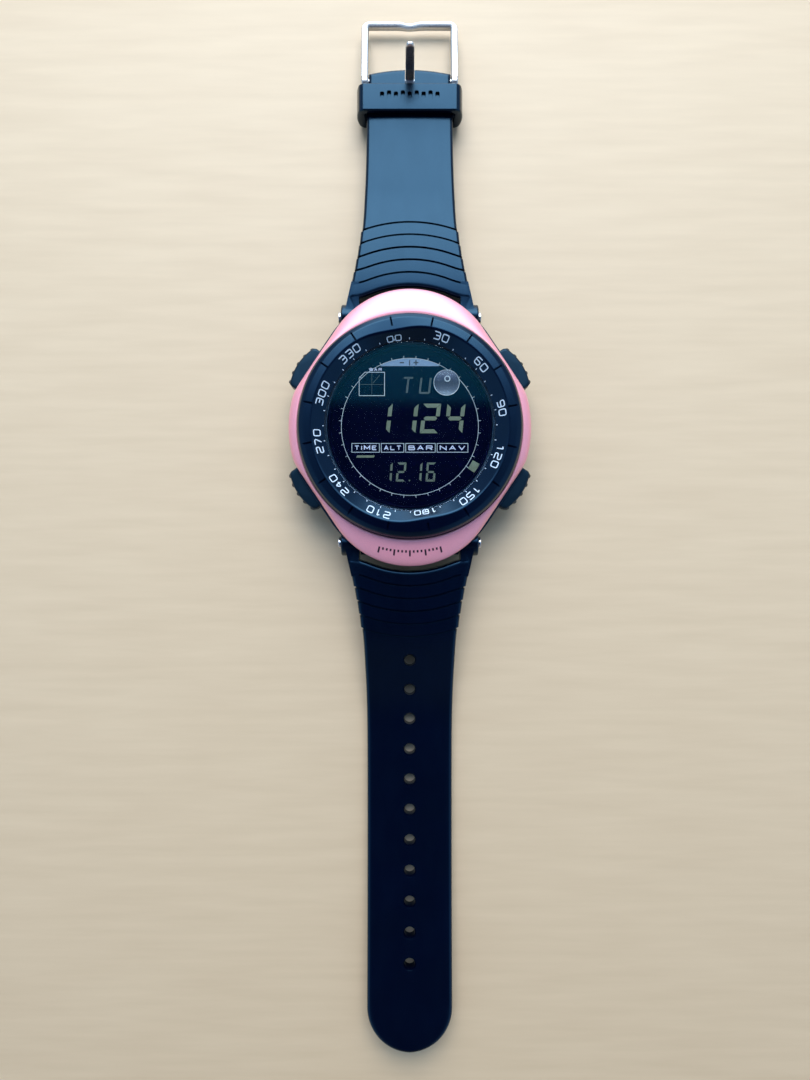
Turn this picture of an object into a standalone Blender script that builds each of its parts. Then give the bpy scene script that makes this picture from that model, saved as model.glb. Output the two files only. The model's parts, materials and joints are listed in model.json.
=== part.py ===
"""A wrist dive and outdoor computer laid open on a table, as an assembly of separate pieces.

The case lies face up on its flat back, with one strap half on each side. +Y points to the buckle end,
+X to the right-hand buttons and +Z up. The origin is the middle of the laid-out watch, on the table.
Every size below is in millimetres, and the mesh helpers turn millimetres into metres.
"""

import math

import bmesh
import bpy
from mathutils import Matrix, Vector

MM = 0.001
ROUND_STEPS = 48  # facets round the case and bezel
INNER_STEPS = 32  # facets round the hidden rings and discs
SMALL_STEPS = 16  # facets round pins
SCREW_STEPS = 12  # facets round stems and screws
MERGE = 0.0005  # mm, joins the points where a turned shape closes
WELD = 0.001  # mm

# Case plan: side arcs about the case axis, straight flanks, and a round tip at 12 and 6 o'clock
FLANK_DEGREES = 34
FLANK_ANGLE = math.radians(FLANK_DEGREES)
COVER_SIDE, COVER_FLANK, COVER_TIP = 25.0, 23.95, 28.6
BODY_SIDE, BODY_FLANK, BODY_TIP = 24.8, 24.45, 28.2
BODY_BOTTOM, BODY_TOP = 2.1, 9.0
CAVITY_R, UPPER_CAVITY_R, CAVITY_STEP = 15.8, 16.9, 9.0

# Turret that carries the crystal and the bezel
TURRET_R, TURRET_BORE, TURRET_TOP, LEDGE = 18.6, 17.95, 12.2, 11.1
CRYSTAL_R, CRYSTAL_BASE, CRYSTAL_TOP, CRYSTAL_CHAMFER = 17.3, 11.15, 12.4, 0.25
GASKET_GAP, GASKET_TOP = 0.1, 12.1
CLICK_GROOVE, TURRET_GROOVE_DEPTH, BEZEL_GROOVE_DEPTH = (10.8, 11.4), 0.35, 0.4
CLICK_RING_R, CLICK_WIRE_R = 18.72, 0.22
BEZEL_R, BEZEL_BORE, BEZEL_LIP, BEZEL_BASE, BEZEL_CREST = 23.0, 18.85, 17.5, 9.3, 14.5
BEZEL_LIP_BASE, BEZEL_LIP_TOP = 12.5, 12.8
COVER_GAP, COVER_CREST = 0.2, 11.75

# Case back and battery
BACK_R, BACK_TOP, BACK_CHAMFER = 20.6, 2.0, 0.4
GLAND_INNER, GLAND_OUTER, GLAND_FLOOR = 16.0, 16.75, 1.3
BACK_SEAL_R, BACK_SEAL_WIRE, BACK_SEAL_Z = 16.37, 0.28, 1.7
SCREW_COUNT, SCREW_CIRCLE, SCREW_HEAD_R, SCREW_SHANK_R = 4, 18.45, 1.45, 0.8
SCREW_BASE, SCREW_HEAD_TOP, SCREW_END = 0.15, 1.1, 5.2
SINK_R, SINK_FLOOR, SCREW_HOLE_R, SCREW_HOLE_END = 1.6, 1.2, 0.9, 5.6
CROSS_HALF, CROSS_HALF_WIDTH, CROSS_FLOOR = 1.0, 0.22, 0.6
COVER_HOLE_R, BATTERY_COVER_R = 13.6, 13.4
LID_FACE, LID_CHAMFER, LID_PLATE, LID_SKIRT_R, LID_SKIRT_TOP = 0.1, 0.3, 1.7, 12.6, 2.75
LID_GROOVE_R, LID_GROOVE = 12.9, (0.6, 1.2)
LID_SEAL_R, LID_SEAL_WIRE = 13.18, 0.2
COIN_SLOT_HALF, COIN_SLOT_HALF_WIDTH, COIN_SLOT_FLOOR = 10.5, 1.0, 0.95
BAYONET_COUNT, BAYONET_HALF_ANGLE, BAYONET_TURN = 3, math.radians(12), math.radians(45)
TAB_INNER, TAB_R, TAB_BASE, TAB_TOP, GATE_R, GATE_MARGIN = 13.0, 14.4, 2.15, 2.7, 14.7, 0.03
BATTERY_R, BATTERY_BASE, BATTERY_TOP = 12.25, 1.9, 4.9
BATTERY_CAN_TOP, BATTERY_CAP_R = 4.3, 11.35

# Display stack
BOARD_R, BOARD_BASE, BOARD_TOP = 13.4, 5.3, 6.1
CHIP_BASE = 6.2
VENT_R, VENT_BORE_R, VENT_FLOOR, VENT_FACE = 1.5, 0.5, 23.6, 24.5  # the pressure sensor's vent, at 9 o'clock
MODULE_BORE_R, MODULE_WALL_R, MODULE_RIM_R = 12.7, 13.5, 15.4
MODULE_BASE, MODULE_SHOULDER, MODULE_TOP = 6.3, 8.6, 9.2
BACKLIGHT_HALF, BACKLIGHT_BASE = 9.0, 8.75
ZEBRA_HALF, ZEBRA_INNER, ZEBRA_OUTER, ZEBRA_TOP = 4.6, 10.2, 11.6, 9.25
LCD_R, LCD_BASE, LCD_TOP = 16.4, 9.35, 10.35
DIAL_APERTURE, DIAL_R, DIAL_BASE, DIAL_TOP = 16.2, 16.75, 10.45, 10.9
VIAL_R, VIAL_CENTRE, VIAL_TOP = 2.65, (7.5, 9.0), 11.05

# Buttons: each slides square to its flank, a little to the side of the case axis
BUTTON_OFFSET, BUTTON_Z = 1.75, 6.5
BUTTON_FACE, BUTTON_END_FACE, BUTTON_INNER = 26.9, 25.9, 23.6
BUTTON_HALF_LENGTH, BUTTON_HALF_HEIGHT = 4.7, 2.0
RIDGES, RIDGE_HALF, RIDGE_OUT = (-4.1, -2.15, 0, 2.15, 4.1), 0.35, 0.35
POCKET_FLOOR, POCKET_GAP = 22.6, 0.25
STEM_R, STEM_HOLE_R, STEM_END, STEM_NECK_R = 0.9, 1.0, 14.45, 0.6
CLIP_GROOVE, CLIP_R, CLIP_BORE_R, CLIP_GAP = (14.7, 15.15), 1.5, 0.68, 0.08
SEAL_R, SEAL_WIRE, SEAL_GROOVE_R, SEAL_GROOVE = 1.27, 0.22, 1.6, (19.4, 20.2)
SPRING_R, SPRING_WIRE, SPRING_TURNS = 1.42, 0.17, 3.5
SPRING_RECESS_R, SPRING_RECESS_END = 1.9, 25.0

# Strap: s runs outwards from the lug pin
PIN_Y, PIN_Z = 23.8, 5.4
PIN_R, PIN_HOLE_R, PIN_HEAD_R, PIN_HEAD = 0.8, 0.95, 1.25, 0.55
PIN_THREAD_R, PIN_SCREW_R, PIN_SCREW_END, PIN_END = 0.5, 0.4, 8.5, 14.2
PIN_SLOT_HALF, PIN_SLOT_DEPTH = 0.18, 0.3
LUG_HALF, LUG_R = 10.3, 2.5
EAR_INNER, EAR_OUTER, EAR_R, EAR_POCKET_R = 10.6, 14.4, 2.7, 3.0
STRAP_WIDTH, STRAP_FLARE, FLARE_LENGTH, FLARE_POWER = 18.2, 8.9, 14.0, 1.4
STRAP_ROOT_THICK, STRAP_THICK = 5.2, 2.6
CASE_HOLLOW_R, CASE_HOLLOW_Y = 22.3, 7.4  # the strap end hollows round the case tip
TAIL_LENGTH, TAIL_RISE, RISE_START = 108.2, 3.0, 46
TAPER = (3, 27)  # s over which the strap thins
DESCENT = (15, 41)  # s over which it comes down to the table
HOLE_COUNT, HOLE_PITCH, FIRST_HOLE, HOLE_R = 11, 6.5, 25.0, 1.15

# Buckle
BAR_S, STRAP_LIFT = 50.6, 3.0
BUCKLE_STRAP_END, BUCKLE_STRAP_HALF, TONGUE_SLOT_START, TONGUE_SLOT_HALF = 52.8, 8.6, 48.5, 1.1
BAR_R, BAR_HOLE_R, BAR_HALF = 0.7, 0.85, 10.2
FRAME_INNER, FRAME_OUTER, FRAME_REACH, FRAME_BAR, FRAME_CORNER = 8.8, 10.35, 13.9, 1.2, 1.2
FRAME_HEIGHT, FRAME_RISE, NOTCH_DEPTH, FRAME_EYE_R = 1.7, -2.0, 0.5, 1.45
TONGUE_LENGTH, TONGUE_WIDTH, TONGUE_THICK, TONGUE_ANGLE, TONGUE_EYE_R = 13.2, 1.8, 1.2, 90, 1.55
KEEPER_START, KEEPER_END = 43.0, 48.8
KEEPER_HALF, KEEPER_TOP, KEEPER_CORNER = 11.25, 7.4, 1.8
KEEPER_INNER_HALF, KEEPER_FLOOR, KEEPER_CEILING, KEEPER_INNER_CORNER = 9.45, 1.1, 6.2, 0.8

BAR_Z = STRAP_LIFT + STRAP_THICK / 2
# The laid-out length is centred on the origin, so the case axis stands off it along Y
CASE_Y = (TAIL_LENGTH - BAR_S - FRAME_REACH) / 2


def clear_scene():
    for obj in list(bpy.data.objects):
        bpy.data.objects.remove(obj)


def make_material(name, colour, roughness, metallic=0.0, alpha=1.0):
    material = bpy.data.materials.new(name)
    material.use_nodes = True
    shader = material.node_tree.nodes["Principled BSDF"]
    shader.inputs["Base Color"].default_value = (*colour, 1.0)
    shader.inputs["Roughness"].default_value = roughness
    shader.inputs["Metallic"].default_value = metallic
    shader.inputs["Alpha"].default_value = alpha
    material.diffuse_color = (*colour, alpha)
    return material


def make_axis(name, parent=None, place=(0, 0, 0), turn=(0, 0, 0)):
    """An empty whose place (mm) and turn (radians) carry the pieces parented to it."""
    empty = bpy.data.objects.new(name, None)
    bpy.context.scene.collection.objects.link(empty)
    empty.parent = parent
    empty.location = Vector(place) * MM
    empty.rotation_euler = turn
    return empty


def make_object(name, bm, material, parent, smooth=True):
    """Turns a bmesh in millimetres into an object in metres."""
    bmesh.ops.recalc_face_normals(bm, faces=bm.faces)
    bmesh.ops.scale(bm, vec=(MM, MM, MM), verts=bm.verts)
    mesh = bpy.data.meshes.new(name)
    bm.to_mesh(mesh)
    bm.free()
    if smooth:
        mesh.shade_smooth()
        mesh.set_sharp_from_angle(angle=math.radians(35))
    obj = bpy.data.objects.new(name, mesh)
    bpy.context.scene.collection.objects.link(obj)
    obj.parent = parent
    if material:
        mesh.materials.append(material)
    return obj


def boolean(target, bm, parent, operation="DIFFERENCE"):
    """Cuts or joins a bmesh (mm, in the parent's frame) to the target, and leaves it as a hidden helper."""
    helper = make_object(target.name + "_" + operation.lower(), bm, None, parent, smooth=False)
    helper.hide_render = True
    helper.display_type = "WIRE"
    modifier = target.modifiers.new(operation.title(), "BOOLEAN")
    modifier.object = helper
    modifier.operation = operation
    weld = target.modifiers.new("Close", "WELD")  # closes the hairline splits that a cut can leave
    weld.merge_threshold = WELD * MM


def turned(profile, steps=ROUND_STEPS, closed=True):
    """A shape turned about Z from (r, z) points. An open profile starts and ends on the axis."""
    bm = bmesh.new()
    points = [bm.verts.new((r, 0, z)) for r, z in profile]
    pairs = list(zip(points, points[1:]))
    if closed:
        pairs.append((points[-1], points[0]))
    edges = [bm.edges.new(pair) for pair in pairs]
    bmesh.ops.spin(bm, geom=points + edges, axis=(0, 0, 1), cent=(0, 0, 0), angle=math.tau, steps=steps)
    bmesh.ops.remove_doubles(bm, verts=bm.verts, dist=MERGE)
    return bm


def ring(major, minor, z, steps=ROUND_STEPS, sides=6):
    """A round-section ring about Z."""
    turns = [math.tau * i / sides for i in range(sides)]
    return turned([(major + minor * math.cos(t), z + minor * math.sin(t)) for t in turns], steps)


def disc(radius, base, top, steps=ROUND_STEPS, chamfer=0.0):
    """A round plate or rod on the Z axis, with its top edge cut back by the chamfer."""
    profile = [(0, base), (radius, base), (radius, top - chamfer)]
    if chamfer:
        profile.append((radius - chamfer, top))
    return turned(profile + [(0, top)], steps, closed=False)


def lofted(loops, ring_shaped=False):
    """Skins loops of the same number of points. A ring-shaped loft joins the last loop to the first."""
    bm = bmesh.new()
    rows = [[bm.verts.new(point) for point in loop] for loop in loops]
    pairs = list(zip(rows, rows[1:]))
    if ring_shaped:
        pairs.append((rows[-1], rows[0]))
    for low, high in pairs:
        count = len(low)
        for i in range(count):
            j = (i + 1) % count
            bm.faces.new((low[i], low[j], high[j], high[i]))
    if not ring_shaped:
        bm.faces.new(reversed(rows[0]))
        bm.faces.new(rows[-1])
    bmesh.ops.triangulate(bm, faces=bm.faces)  # flat faces keep the later cuts exact
    return bm


def prism(outline, low, high):
    """An outline of (x, y) points raised from low to high."""
    bm = bmesh.new()
    face = bm.faces.new([bm.verts.new((x, y, low)) for x, y in outline])
    raised = bmesh.ops.extrude_face_region(bm, geom=[face])["geom"]
    verts = [v for v in raised if isinstance(v, bmesh.types.BMVert)]
    bmesh.ops.translate(bm, verts=verts, vec=(0, 0, high - low))
    return bm


def block(x, y, z):
    """A box from three (low, high) pairs."""
    return prism([(x[0], y[0]), (x[1], y[0]), (x[1], y[1]), (x[0], y[1])], *z)


def merged(*parts):
    """Puts several separate bmeshes that don't touch into one."""
    whole = bmesh.new()
    for part in parts:
        mesh = bpy.data.meshes.new("part")
        part.to_mesh(mesh)
        part.free()
        whole.from_mesh(mesh)
        bpy.data.meshes.remove(mesh)
    return whole


def along_x(bm, place=(0, 0, 0)):
    """Turns a shape made about Z so that its axis runs along +X, then moves it."""
    bmesh.ops.rotate(bm, verts=bm.verts, cent=(0, 0, 0), matrix=Matrix.Rotation(math.pi / 2, 3, "Y"))
    bmesh.ops.translate(bm, verts=bm.verts, vec=place)
    return bm


def moved(bm, place, turn=0.0):
    """Turns a shape about Z, then moves it."""
    bmesh.ops.rotate(bm, verts=bm.verts, cent=(0, 0, 0), matrix=Matrix.Rotation(turn, 3, "Z"))
    bmesh.ops.translate(bm, verts=bm.verts, vec=place)
    return bm


def rounded(half_x, half_y, radius, steps=4):
    """Points round a rectangle with round corners, centred on the origin."""
    points = []
    for quarter, (sx, sy) in enumerate(((1, 1), (-1, 1), (-1, -1), (1, -1))):
        for i in range(steps + 1):
            turn = math.pi / 2 * (quarter + i / steps)
            points.append((
                sx * (half_x - radius) + radius * math.cos(turn),
                sy * (half_y - radius) + radius * math.sin(turn),
            ))
    return points


def case_radius(turn, side, flank, tip):
    """Distance from the case axis to an outline made of side arcs, flanks and round tips."""
    turn = math.atan2(abs(math.sin(turn)), abs(math.cos(turn)))
    tip_centre = (tip - flank) / (1 - math.sin(FLANK_ANGLE))
    tip_r = tip - tip_centre
    joint = math.atan2(tip_centre + tip_r * math.sin(FLANK_ANGLE), tip_r * math.cos(FLANK_ANGLE))
    if turn >= joint:
        return tip_centre * math.sin(turn) + math.sqrt(tip_r**2 - (tip_centre * math.cos(turn)) ** 2)
    return min(side, flank / math.cos(turn - FLANK_ANGLE))


def case_loop(side, flank, tip, z):
    turns = [math.tau * i / ROUND_STEPS for i in range(ROUND_STEPS)]
    radii = [case_radius(turn, side, flank, tip) for turn in turns]
    return [(r * math.cos(turn), r * math.sin(turn), z) for r, turn in zip(radii, turns)]


def round_loop(radius, z):
    return case_loop(radius, radius, radius, z)


def smooth_step(value, low, high):
    share = min(1.0, max(0.0, (value - low) / (high - low)))
    return share * share * (3 - 2 * share)


# ---------------------------------------------------------------- case


def make_mid_case(case, plastic):
    """The moulded body: outer wall, turret with its click groove, crystal seat and the open cavity."""
    low, high = CLICK_GROOVE
    loops = [
        round_loop(20.8, BODY_BOTTOM),
        round_loop(21.6, 2.8),
        case_loop(23.5, 23.2, 24.2, 5.0),
        case_loop(BODY_SIDE, BODY_FLANK, 27.9, 7.4),
        case_loop(BODY_SIDE, BODY_FLANK, BODY_TIP, BODY_TOP),
        round_loop(TURRET_R, BODY_TOP),
        round_loop(TURRET_R, low),
        round_loop(TURRET_R - TURRET_GROOVE_DEPTH, low),
        round_loop(TURRET_R - TURRET_GROOVE_DEPTH, high),
        round_loop(TURRET_R, high),
        round_loop(TURRET_R, TURRET_TOP),
        round_loop(TURRET_BORE, TURRET_TOP),
        round_loop(TURRET_BORE, LEDGE),
        round_loop(UPPER_CAVITY_R, LEDGE),
        round_loop(UPPER_CAVITY_R, CAVITY_STEP),
        round_loop(CAVITY_R, CAVITY_STEP),
        round_loop(CAVITY_R, BODY_BOTTOM),
    ]
    body = make_object("mid_case", lofted(loops, ring_shaped=True), plastic, case)
    for side in (1, -1):
        lug = along_x(disc(LUG_R, -12, 12, 20), (0, side * PIN_Y, PIN_Z))
        boolean(body, lug, case, "UNION")
    pockets = []
    for side in (1, -1):
        for ends in ((LUG_HALF, 18), (-18, -LUG_HALF)):
            pockets.append(along_x(disc(EAR_POCKET_R, *ends, 20), (0, side * PIN_Y, PIN_Z)))
    boolean(body, merged(*pockets), case)
    bores = [along_x(disc(PIN_HOLE_R, -13, 13, 12), (0, side * PIN_Y, PIN_Z)) for side in (1, -1)]
    boolean(body, merged(*bores), case)
    holes = [moved(disc(SCREW_HOLE_R, 1.5, SCREW_HOLE_END, SCREW_STEPS), screw_place(i))
             for i in range(SCREW_COUNT)]
    boolean(body, merged(*holes), case)
    vent = [(0, -30), (VENT_R, -30), (VENT_R, -VENT_FLOOR), (VENT_BORE_R, -VENT_FLOOR),
            (VENT_BORE_R, -14), (0, -14)]
    boolean(body, along_x(turned(vent, SCREW_STEPS, closed=False), (0, 0, BUTTON_Z)), case)
    return body


def screw_place(index):
    turn = math.pi / 4 + index * math.pi / 2
    return (SCREW_CIRCLE * math.cos(turn), SCREW_CIRCLE * math.sin(turn), 0)


def make_top_cover(case, painted):
    """The coloured trim ring: narrow at the sides, with a broad tip at each strap."""
    inner = BEZEL_R + COVER_GAP
    loops = [
        round_loop(inner, BODY_TOP + 0.1),
        case_loop(COVER_SIDE, COVER_FLANK, COVER_TIP, BODY_TOP + 0.1),
        case_loop(COVER_SIDE, COVER_FLANK, COVER_TIP, 9.9),
        case_loop(COVER_SIDE - 0.35, COVER_FLANK - 0.2, COVER_TIP - 0.7, 10.6),
        case_loop(inner + 0.35, inner + 0.35, inner + 1.8, 11.55),
        round_loop(inner, COVER_CREST),
    ]
    return make_object("top_cover", lofted(loops, ring_shaped=True), painted, case)


def make_bezel(axis, plastic):
    low, high = CLICK_GROOVE
    profile = [
        (BEZEL_BORE, BEZEL_BASE), (BEZEL_R - 0.3, BEZEL_BASE), (BEZEL_R, BEZEL_BASE + 0.3),
        (BEZEL_R, 12.0), (BEZEL_R - 0.5, 13.3), (BEZEL_R - 1.2, 14.1), (BEZEL_R - 2.0, BEZEL_CREST),
        (BEZEL_R - 2.7, BEZEL_CREST), (BEZEL_R - 3.3, 14.15), (BEZEL_LIP, BEZEL_LIP_TOP),
        (BEZEL_LIP, BEZEL_LIP_BASE), (BEZEL_BORE, BEZEL_LIP_BASE), (BEZEL_BORE, high),
        (BEZEL_BORE + BEZEL_GROOVE_DEPTH, high), (BEZEL_BORE + BEZEL_GROOVE_DEPTH, low), (BEZEL_BORE, low),
    ]
    return make_object("compass_bezel", turned(profile), plastic, axis)


def make_crystal(case, glass, rubber):
    profile = [(0, CRYSTAL_BASE), (CRYSTAL_R, CRYSTAL_BASE), (CRYSTAL_R, CRYSTAL_TOP - CRYSTAL_CHAMFER),
               (CRYSTAL_R - CRYSTAL_CHAMFER, CRYSTAL_TOP), (0, CRYSTAL_TOP)]
    make_object("crystal", turned(profile, closed=False), glass, case)
    inner, outer = CRYSTAL_R + GASKET_GAP, TURRET_BORE - GASKET_GAP
    seat = [(inner, CRYSTAL_BASE), (outer, CRYSTAL_BASE), (outer, GASKET_TOP), (inner, GASKET_TOP)]
    make_object("crystal_gasket", turned(seat), rubber, case)


def make_click_ring(case, steel):
    middle = sum(CLICK_GROOVE) / 2
    make_object("bezel_click_ring", ring(CLICK_RING_R, CLICK_WIRE_R, middle, ROUND_STEPS, 4), steel, case)


# ---------------------------------------------------------------- display and electronics


def make_display(case, mats):
    make_object("dial_ring", turned([(DIAL_APERTURE, DIAL_BASE), (DIAL_R, DIAL_BASE),
                                     (DIAL_R, DIAL_TOP), (DIAL_APERTURE, DIAL_TOP)]), mats["dial"], case)
    vial = moved(disc(VIAL_R, DIAL_BASE, VIAL_TOP, 24, chamfer=0.2), (*VIAL_CENTRE, 0))
    make_object("level_vial", vial, mats["glass"], case)
    make_object("lcd_panel", disc(LCD_R, LCD_BASE, LCD_TOP), mats["lcd"], case)
    span = (-BACKLIGHT_HALF, BACKLIGHT_HALF)
    light = block(span, span, (BACKLIGHT_BASE, MODULE_TOP))
    make_object("backlight_panel", light, mats["film"], case, smooth=False)
    frame = [(MODULE_BORE_R, MODULE_BASE), (MODULE_WALL_R, MODULE_BASE), (MODULE_WALL_R, MODULE_SHOULDER),
             (MODULE_RIM_R, MODULE_SHOULDER), (MODULE_RIM_R, MODULE_TOP), (MODULE_BORE_R, MODULE_TOP)]
    make_object("module_frame", turned(frame, INNER_STEPS), mats["white_plastic"], case)
    for name, side in (("zebra_strip_upper", 1), ("zebra_strip_lower", -1)):
        span_y = sorted((side * ZEBRA_INNER, side * ZEBRA_OUTER))
        strip = block((-ZEBRA_HALF, ZEBRA_HALF), span_y, (CHIP_BASE, ZEBRA_TOP))
        make_object(name, strip, mats["rubber"], case, smooth=False)


def make_electronics(case, mats):
    make_object("circuit_board", disc(BOARD_R, BOARD_BASE, BOARD_TOP, INNER_STEPS), mats["board"], case)
    chips = (
        ("processor_chip", (-3.5, 3.5), (-3.5, 3.5), 7.1, "chip"),
        ("compass_sensor", (5.5, 8.5), (3.0, 6.0), 7.2, "chip"),
        ("quartz_crystal", (5.4, 6.9), (-6.5, -2.0), 7.4, "steel"),
    )
    for name, x, y, top, mat in chips:
        make_object(name, block(x, y, (CHIP_BASE, top)), mats[mat], case, smooth=False)
    sensor = moved(disc(2.0, CHIP_BASE, 8.0, SMALL_STEPS), (-8.4, 0, 0))
    make_object("pressure_sensor", sensor, mats["steel"], case)
    buzzer = moved(disc(2.4, CHIP_BASE, 7.6, 20), (-4.6, 6.8, 0))
    make_object("buzzer", buzzer, mats["chip"], case)
    plug = disc(VENT_R - 0.15, -VENT_FACE, -VENT_FLOOR - 0.2, SCREW_STEPS)
    make_object("sensor_vent", along_x(plug, (0, 0, BUTTON_Z)), mats["steel"], case)


def make_battery(case, mats):
    profile = [(0, BATTERY_BASE), (BATTERY_R - 0.3, BATTERY_BASE), (BATTERY_R, BATTERY_BASE + 0.3),
               (BATTERY_R, BATTERY_CAN_TOP), (BATTERY_CAP_R, BATTERY_CAN_TOP + 0.2),
               (BATTERY_CAP_R, BATTERY_TOP), (0, BATTERY_TOP)]
    make_object("battery", turned(profile, INNER_STEPS, closed=False), mats["steel"], case)
    leaf = block((-4.5, 4.5), (-1.0, 1.0), (5.0, 5.2))
    make_object("battery_contact_negative", leaf, mats["brass"], case, smooth=False)
    clip = block((-1.5, 1.5), (-12.9, -12.5), (2.9, 5.2))
    make_object("battery_contact_positive", clip, mats["brass"], case, smooth=False)


# ---------------------------------------------------------------- case back


def make_case_back(case, mats):
    profile = [
        (COVER_HOLE_R, 0), (BACK_R - BACK_CHAMFER, 0), (BACK_R, BACK_CHAMFER), (BACK_R, BACK_TOP),
        (GLAND_OUTER, BACK_TOP), (GLAND_OUTER, GLAND_FLOOR), (GLAND_INNER, GLAND_FLOOR),
        (GLAND_INNER, BACK_TOP), (COVER_HOLE_R, BACK_TOP),
    ]
    back = make_object("case_back", turned(profile), mats["plastic"], case)
    sink = [(0, -1), (SINK_R, -1), (SINK_R, SINK_FLOOR), (SCREW_HOLE_R + 0.1, SINK_FLOOR),
            (SCREW_HOLE_R + 0.1, 3), (0, 3)]
    sinks = [moved(turned(sink, SCREW_STEPS, False), screw_place(i)) for i in range(SCREW_COUNT)]
    boolean(back, merged(*sinks), case)
    gates = []
    for i in range(BAYONET_COUNT):
        turn = math.tau * i / BAYONET_COUNT + BAYONET_TURN
        gates.append(sector(COVER_HOLE_R - 1, GATE_R, turn, BAYONET_HALF_ANGLE + GATE_MARGIN, -1, 3))
    boolean(back, merged(*gates), case)
    seal = ring(BACK_SEAL_R, BACK_SEAL_WIRE, BACK_SEAL_Z, INNER_STEPS, 5)
    make_object("case_back_gasket", seal, mats["rubber"], case)
    for i in range(SCREW_COUNT):
        profile = [(0, SCREW_BASE), (SCREW_HEAD_R, SCREW_BASE), (SCREW_HEAD_R, SCREW_HEAD_TOP),
                   (SCREW_SHANK_R, SCREW_HEAD_TOP), (SCREW_SHANK_R, SCREW_END), (0, SCREW_END)]
        body = moved(turned(profile, SCREW_STEPS, False), screw_place(i))
        screw = make_object(f"case_back_screw_{i + 1}", body, mats["steel"], case)
        x, y, _ = screw_place(i)
        for span_x, span_y in ((CROSS_HALF, CROSS_HALF_WIDTH), (CROSS_HALF_WIDTH, CROSS_HALF)):
            slot = block((x - span_x, x + span_x), (y - span_y, y + span_y), (-0.5, CROSS_FLOOR))
            boolean(screw, slot, case)


def sector(inner, outer, turn, half_angle, low, high):
    """A curved block between two radii, centred on an angle."""
    turns = [turn + half_angle * (i / 2 - 1) for i in range(5)]
    points = [(inner * math.cos(t), inner * math.sin(t)) for t in turns]
    points += [(outer * math.cos(t), outer * math.sin(t)) for t in reversed(turns)]
    return prism(points, low, high)


def make_battery_cover(axis, mats):
    """A quarter-turn lid with a coin slot, an O-ring groove and bayonet tabs above the case back."""
    low, high = LID_GROOVE
    profile = [
        (0, LID_FACE), (BATTERY_COVER_R - LID_CHAMFER, LID_FACE), (BATTERY_COVER_R, LID_FACE + LID_CHAMFER),
        (BATTERY_COVER_R, low), (LID_GROOVE_R, low), (LID_GROOVE_R, high), (BATTERY_COVER_R, high),
        (BATTERY_COVER_R, LID_SKIRT_TOP), (LID_SKIRT_R, LID_SKIRT_TOP), (LID_SKIRT_R, LID_PLATE),
        (0, LID_PLATE),
    ]
    lid = make_object("battery_cover", turned(profile, INNER_STEPS, closed=False), mats["plastic"], axis)
    turns = [math.tau * i / BAYONET_COUNT for i in range(BAYONET_COUNT)]
    tabs = [sector(TAB_INNER, TAB_R, turn, BAYONET_HALF_ANGLE, TAB_BASE, TAB_TOP) for turn in turns]
    boolean(lid, merged(*tabs), axis, "UNION")
    slot = block((-COIN_SLOT_HALF, COIN_SLOT_HALF), (-COIN_SLOT_HALF_WIDTH, COIN_SLOT_HALF_WIDTH),
                 (-0.5, COIN_SLOT_FLOOR))
    boolean(lid, slot, axis)
    seal = ring(LID_SEAL_R, LID_SEAL_WIRE, (low + high) / 2, INNER_STEPS, 5)
    make_object("battery_cover_seal", seal, mats["rubber"], axis)


# ---------------------------------------------------------------- buttons


def button_outline(steps=6):
    """Plan of a button cap: flat inside, with a gently bowed outer face."""
    points = [(BUTTON_INNER, -BUTTON_HALF_LENGTH)]
    for i in range(steps + 1):
        y = BUTTON_HALF_LENGTH * (2 * i / steps - 1)
        drop = (BUTTON_FACE - BUTTON_END_FACE) * (y / BUTTON_HALF_LENGTH) ** 2
        points.append((BUTTON_FACE - drop, y))
    points.append((BUTTON_INNER, BUTTON_HALF_LENGTH))
    return points


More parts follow.
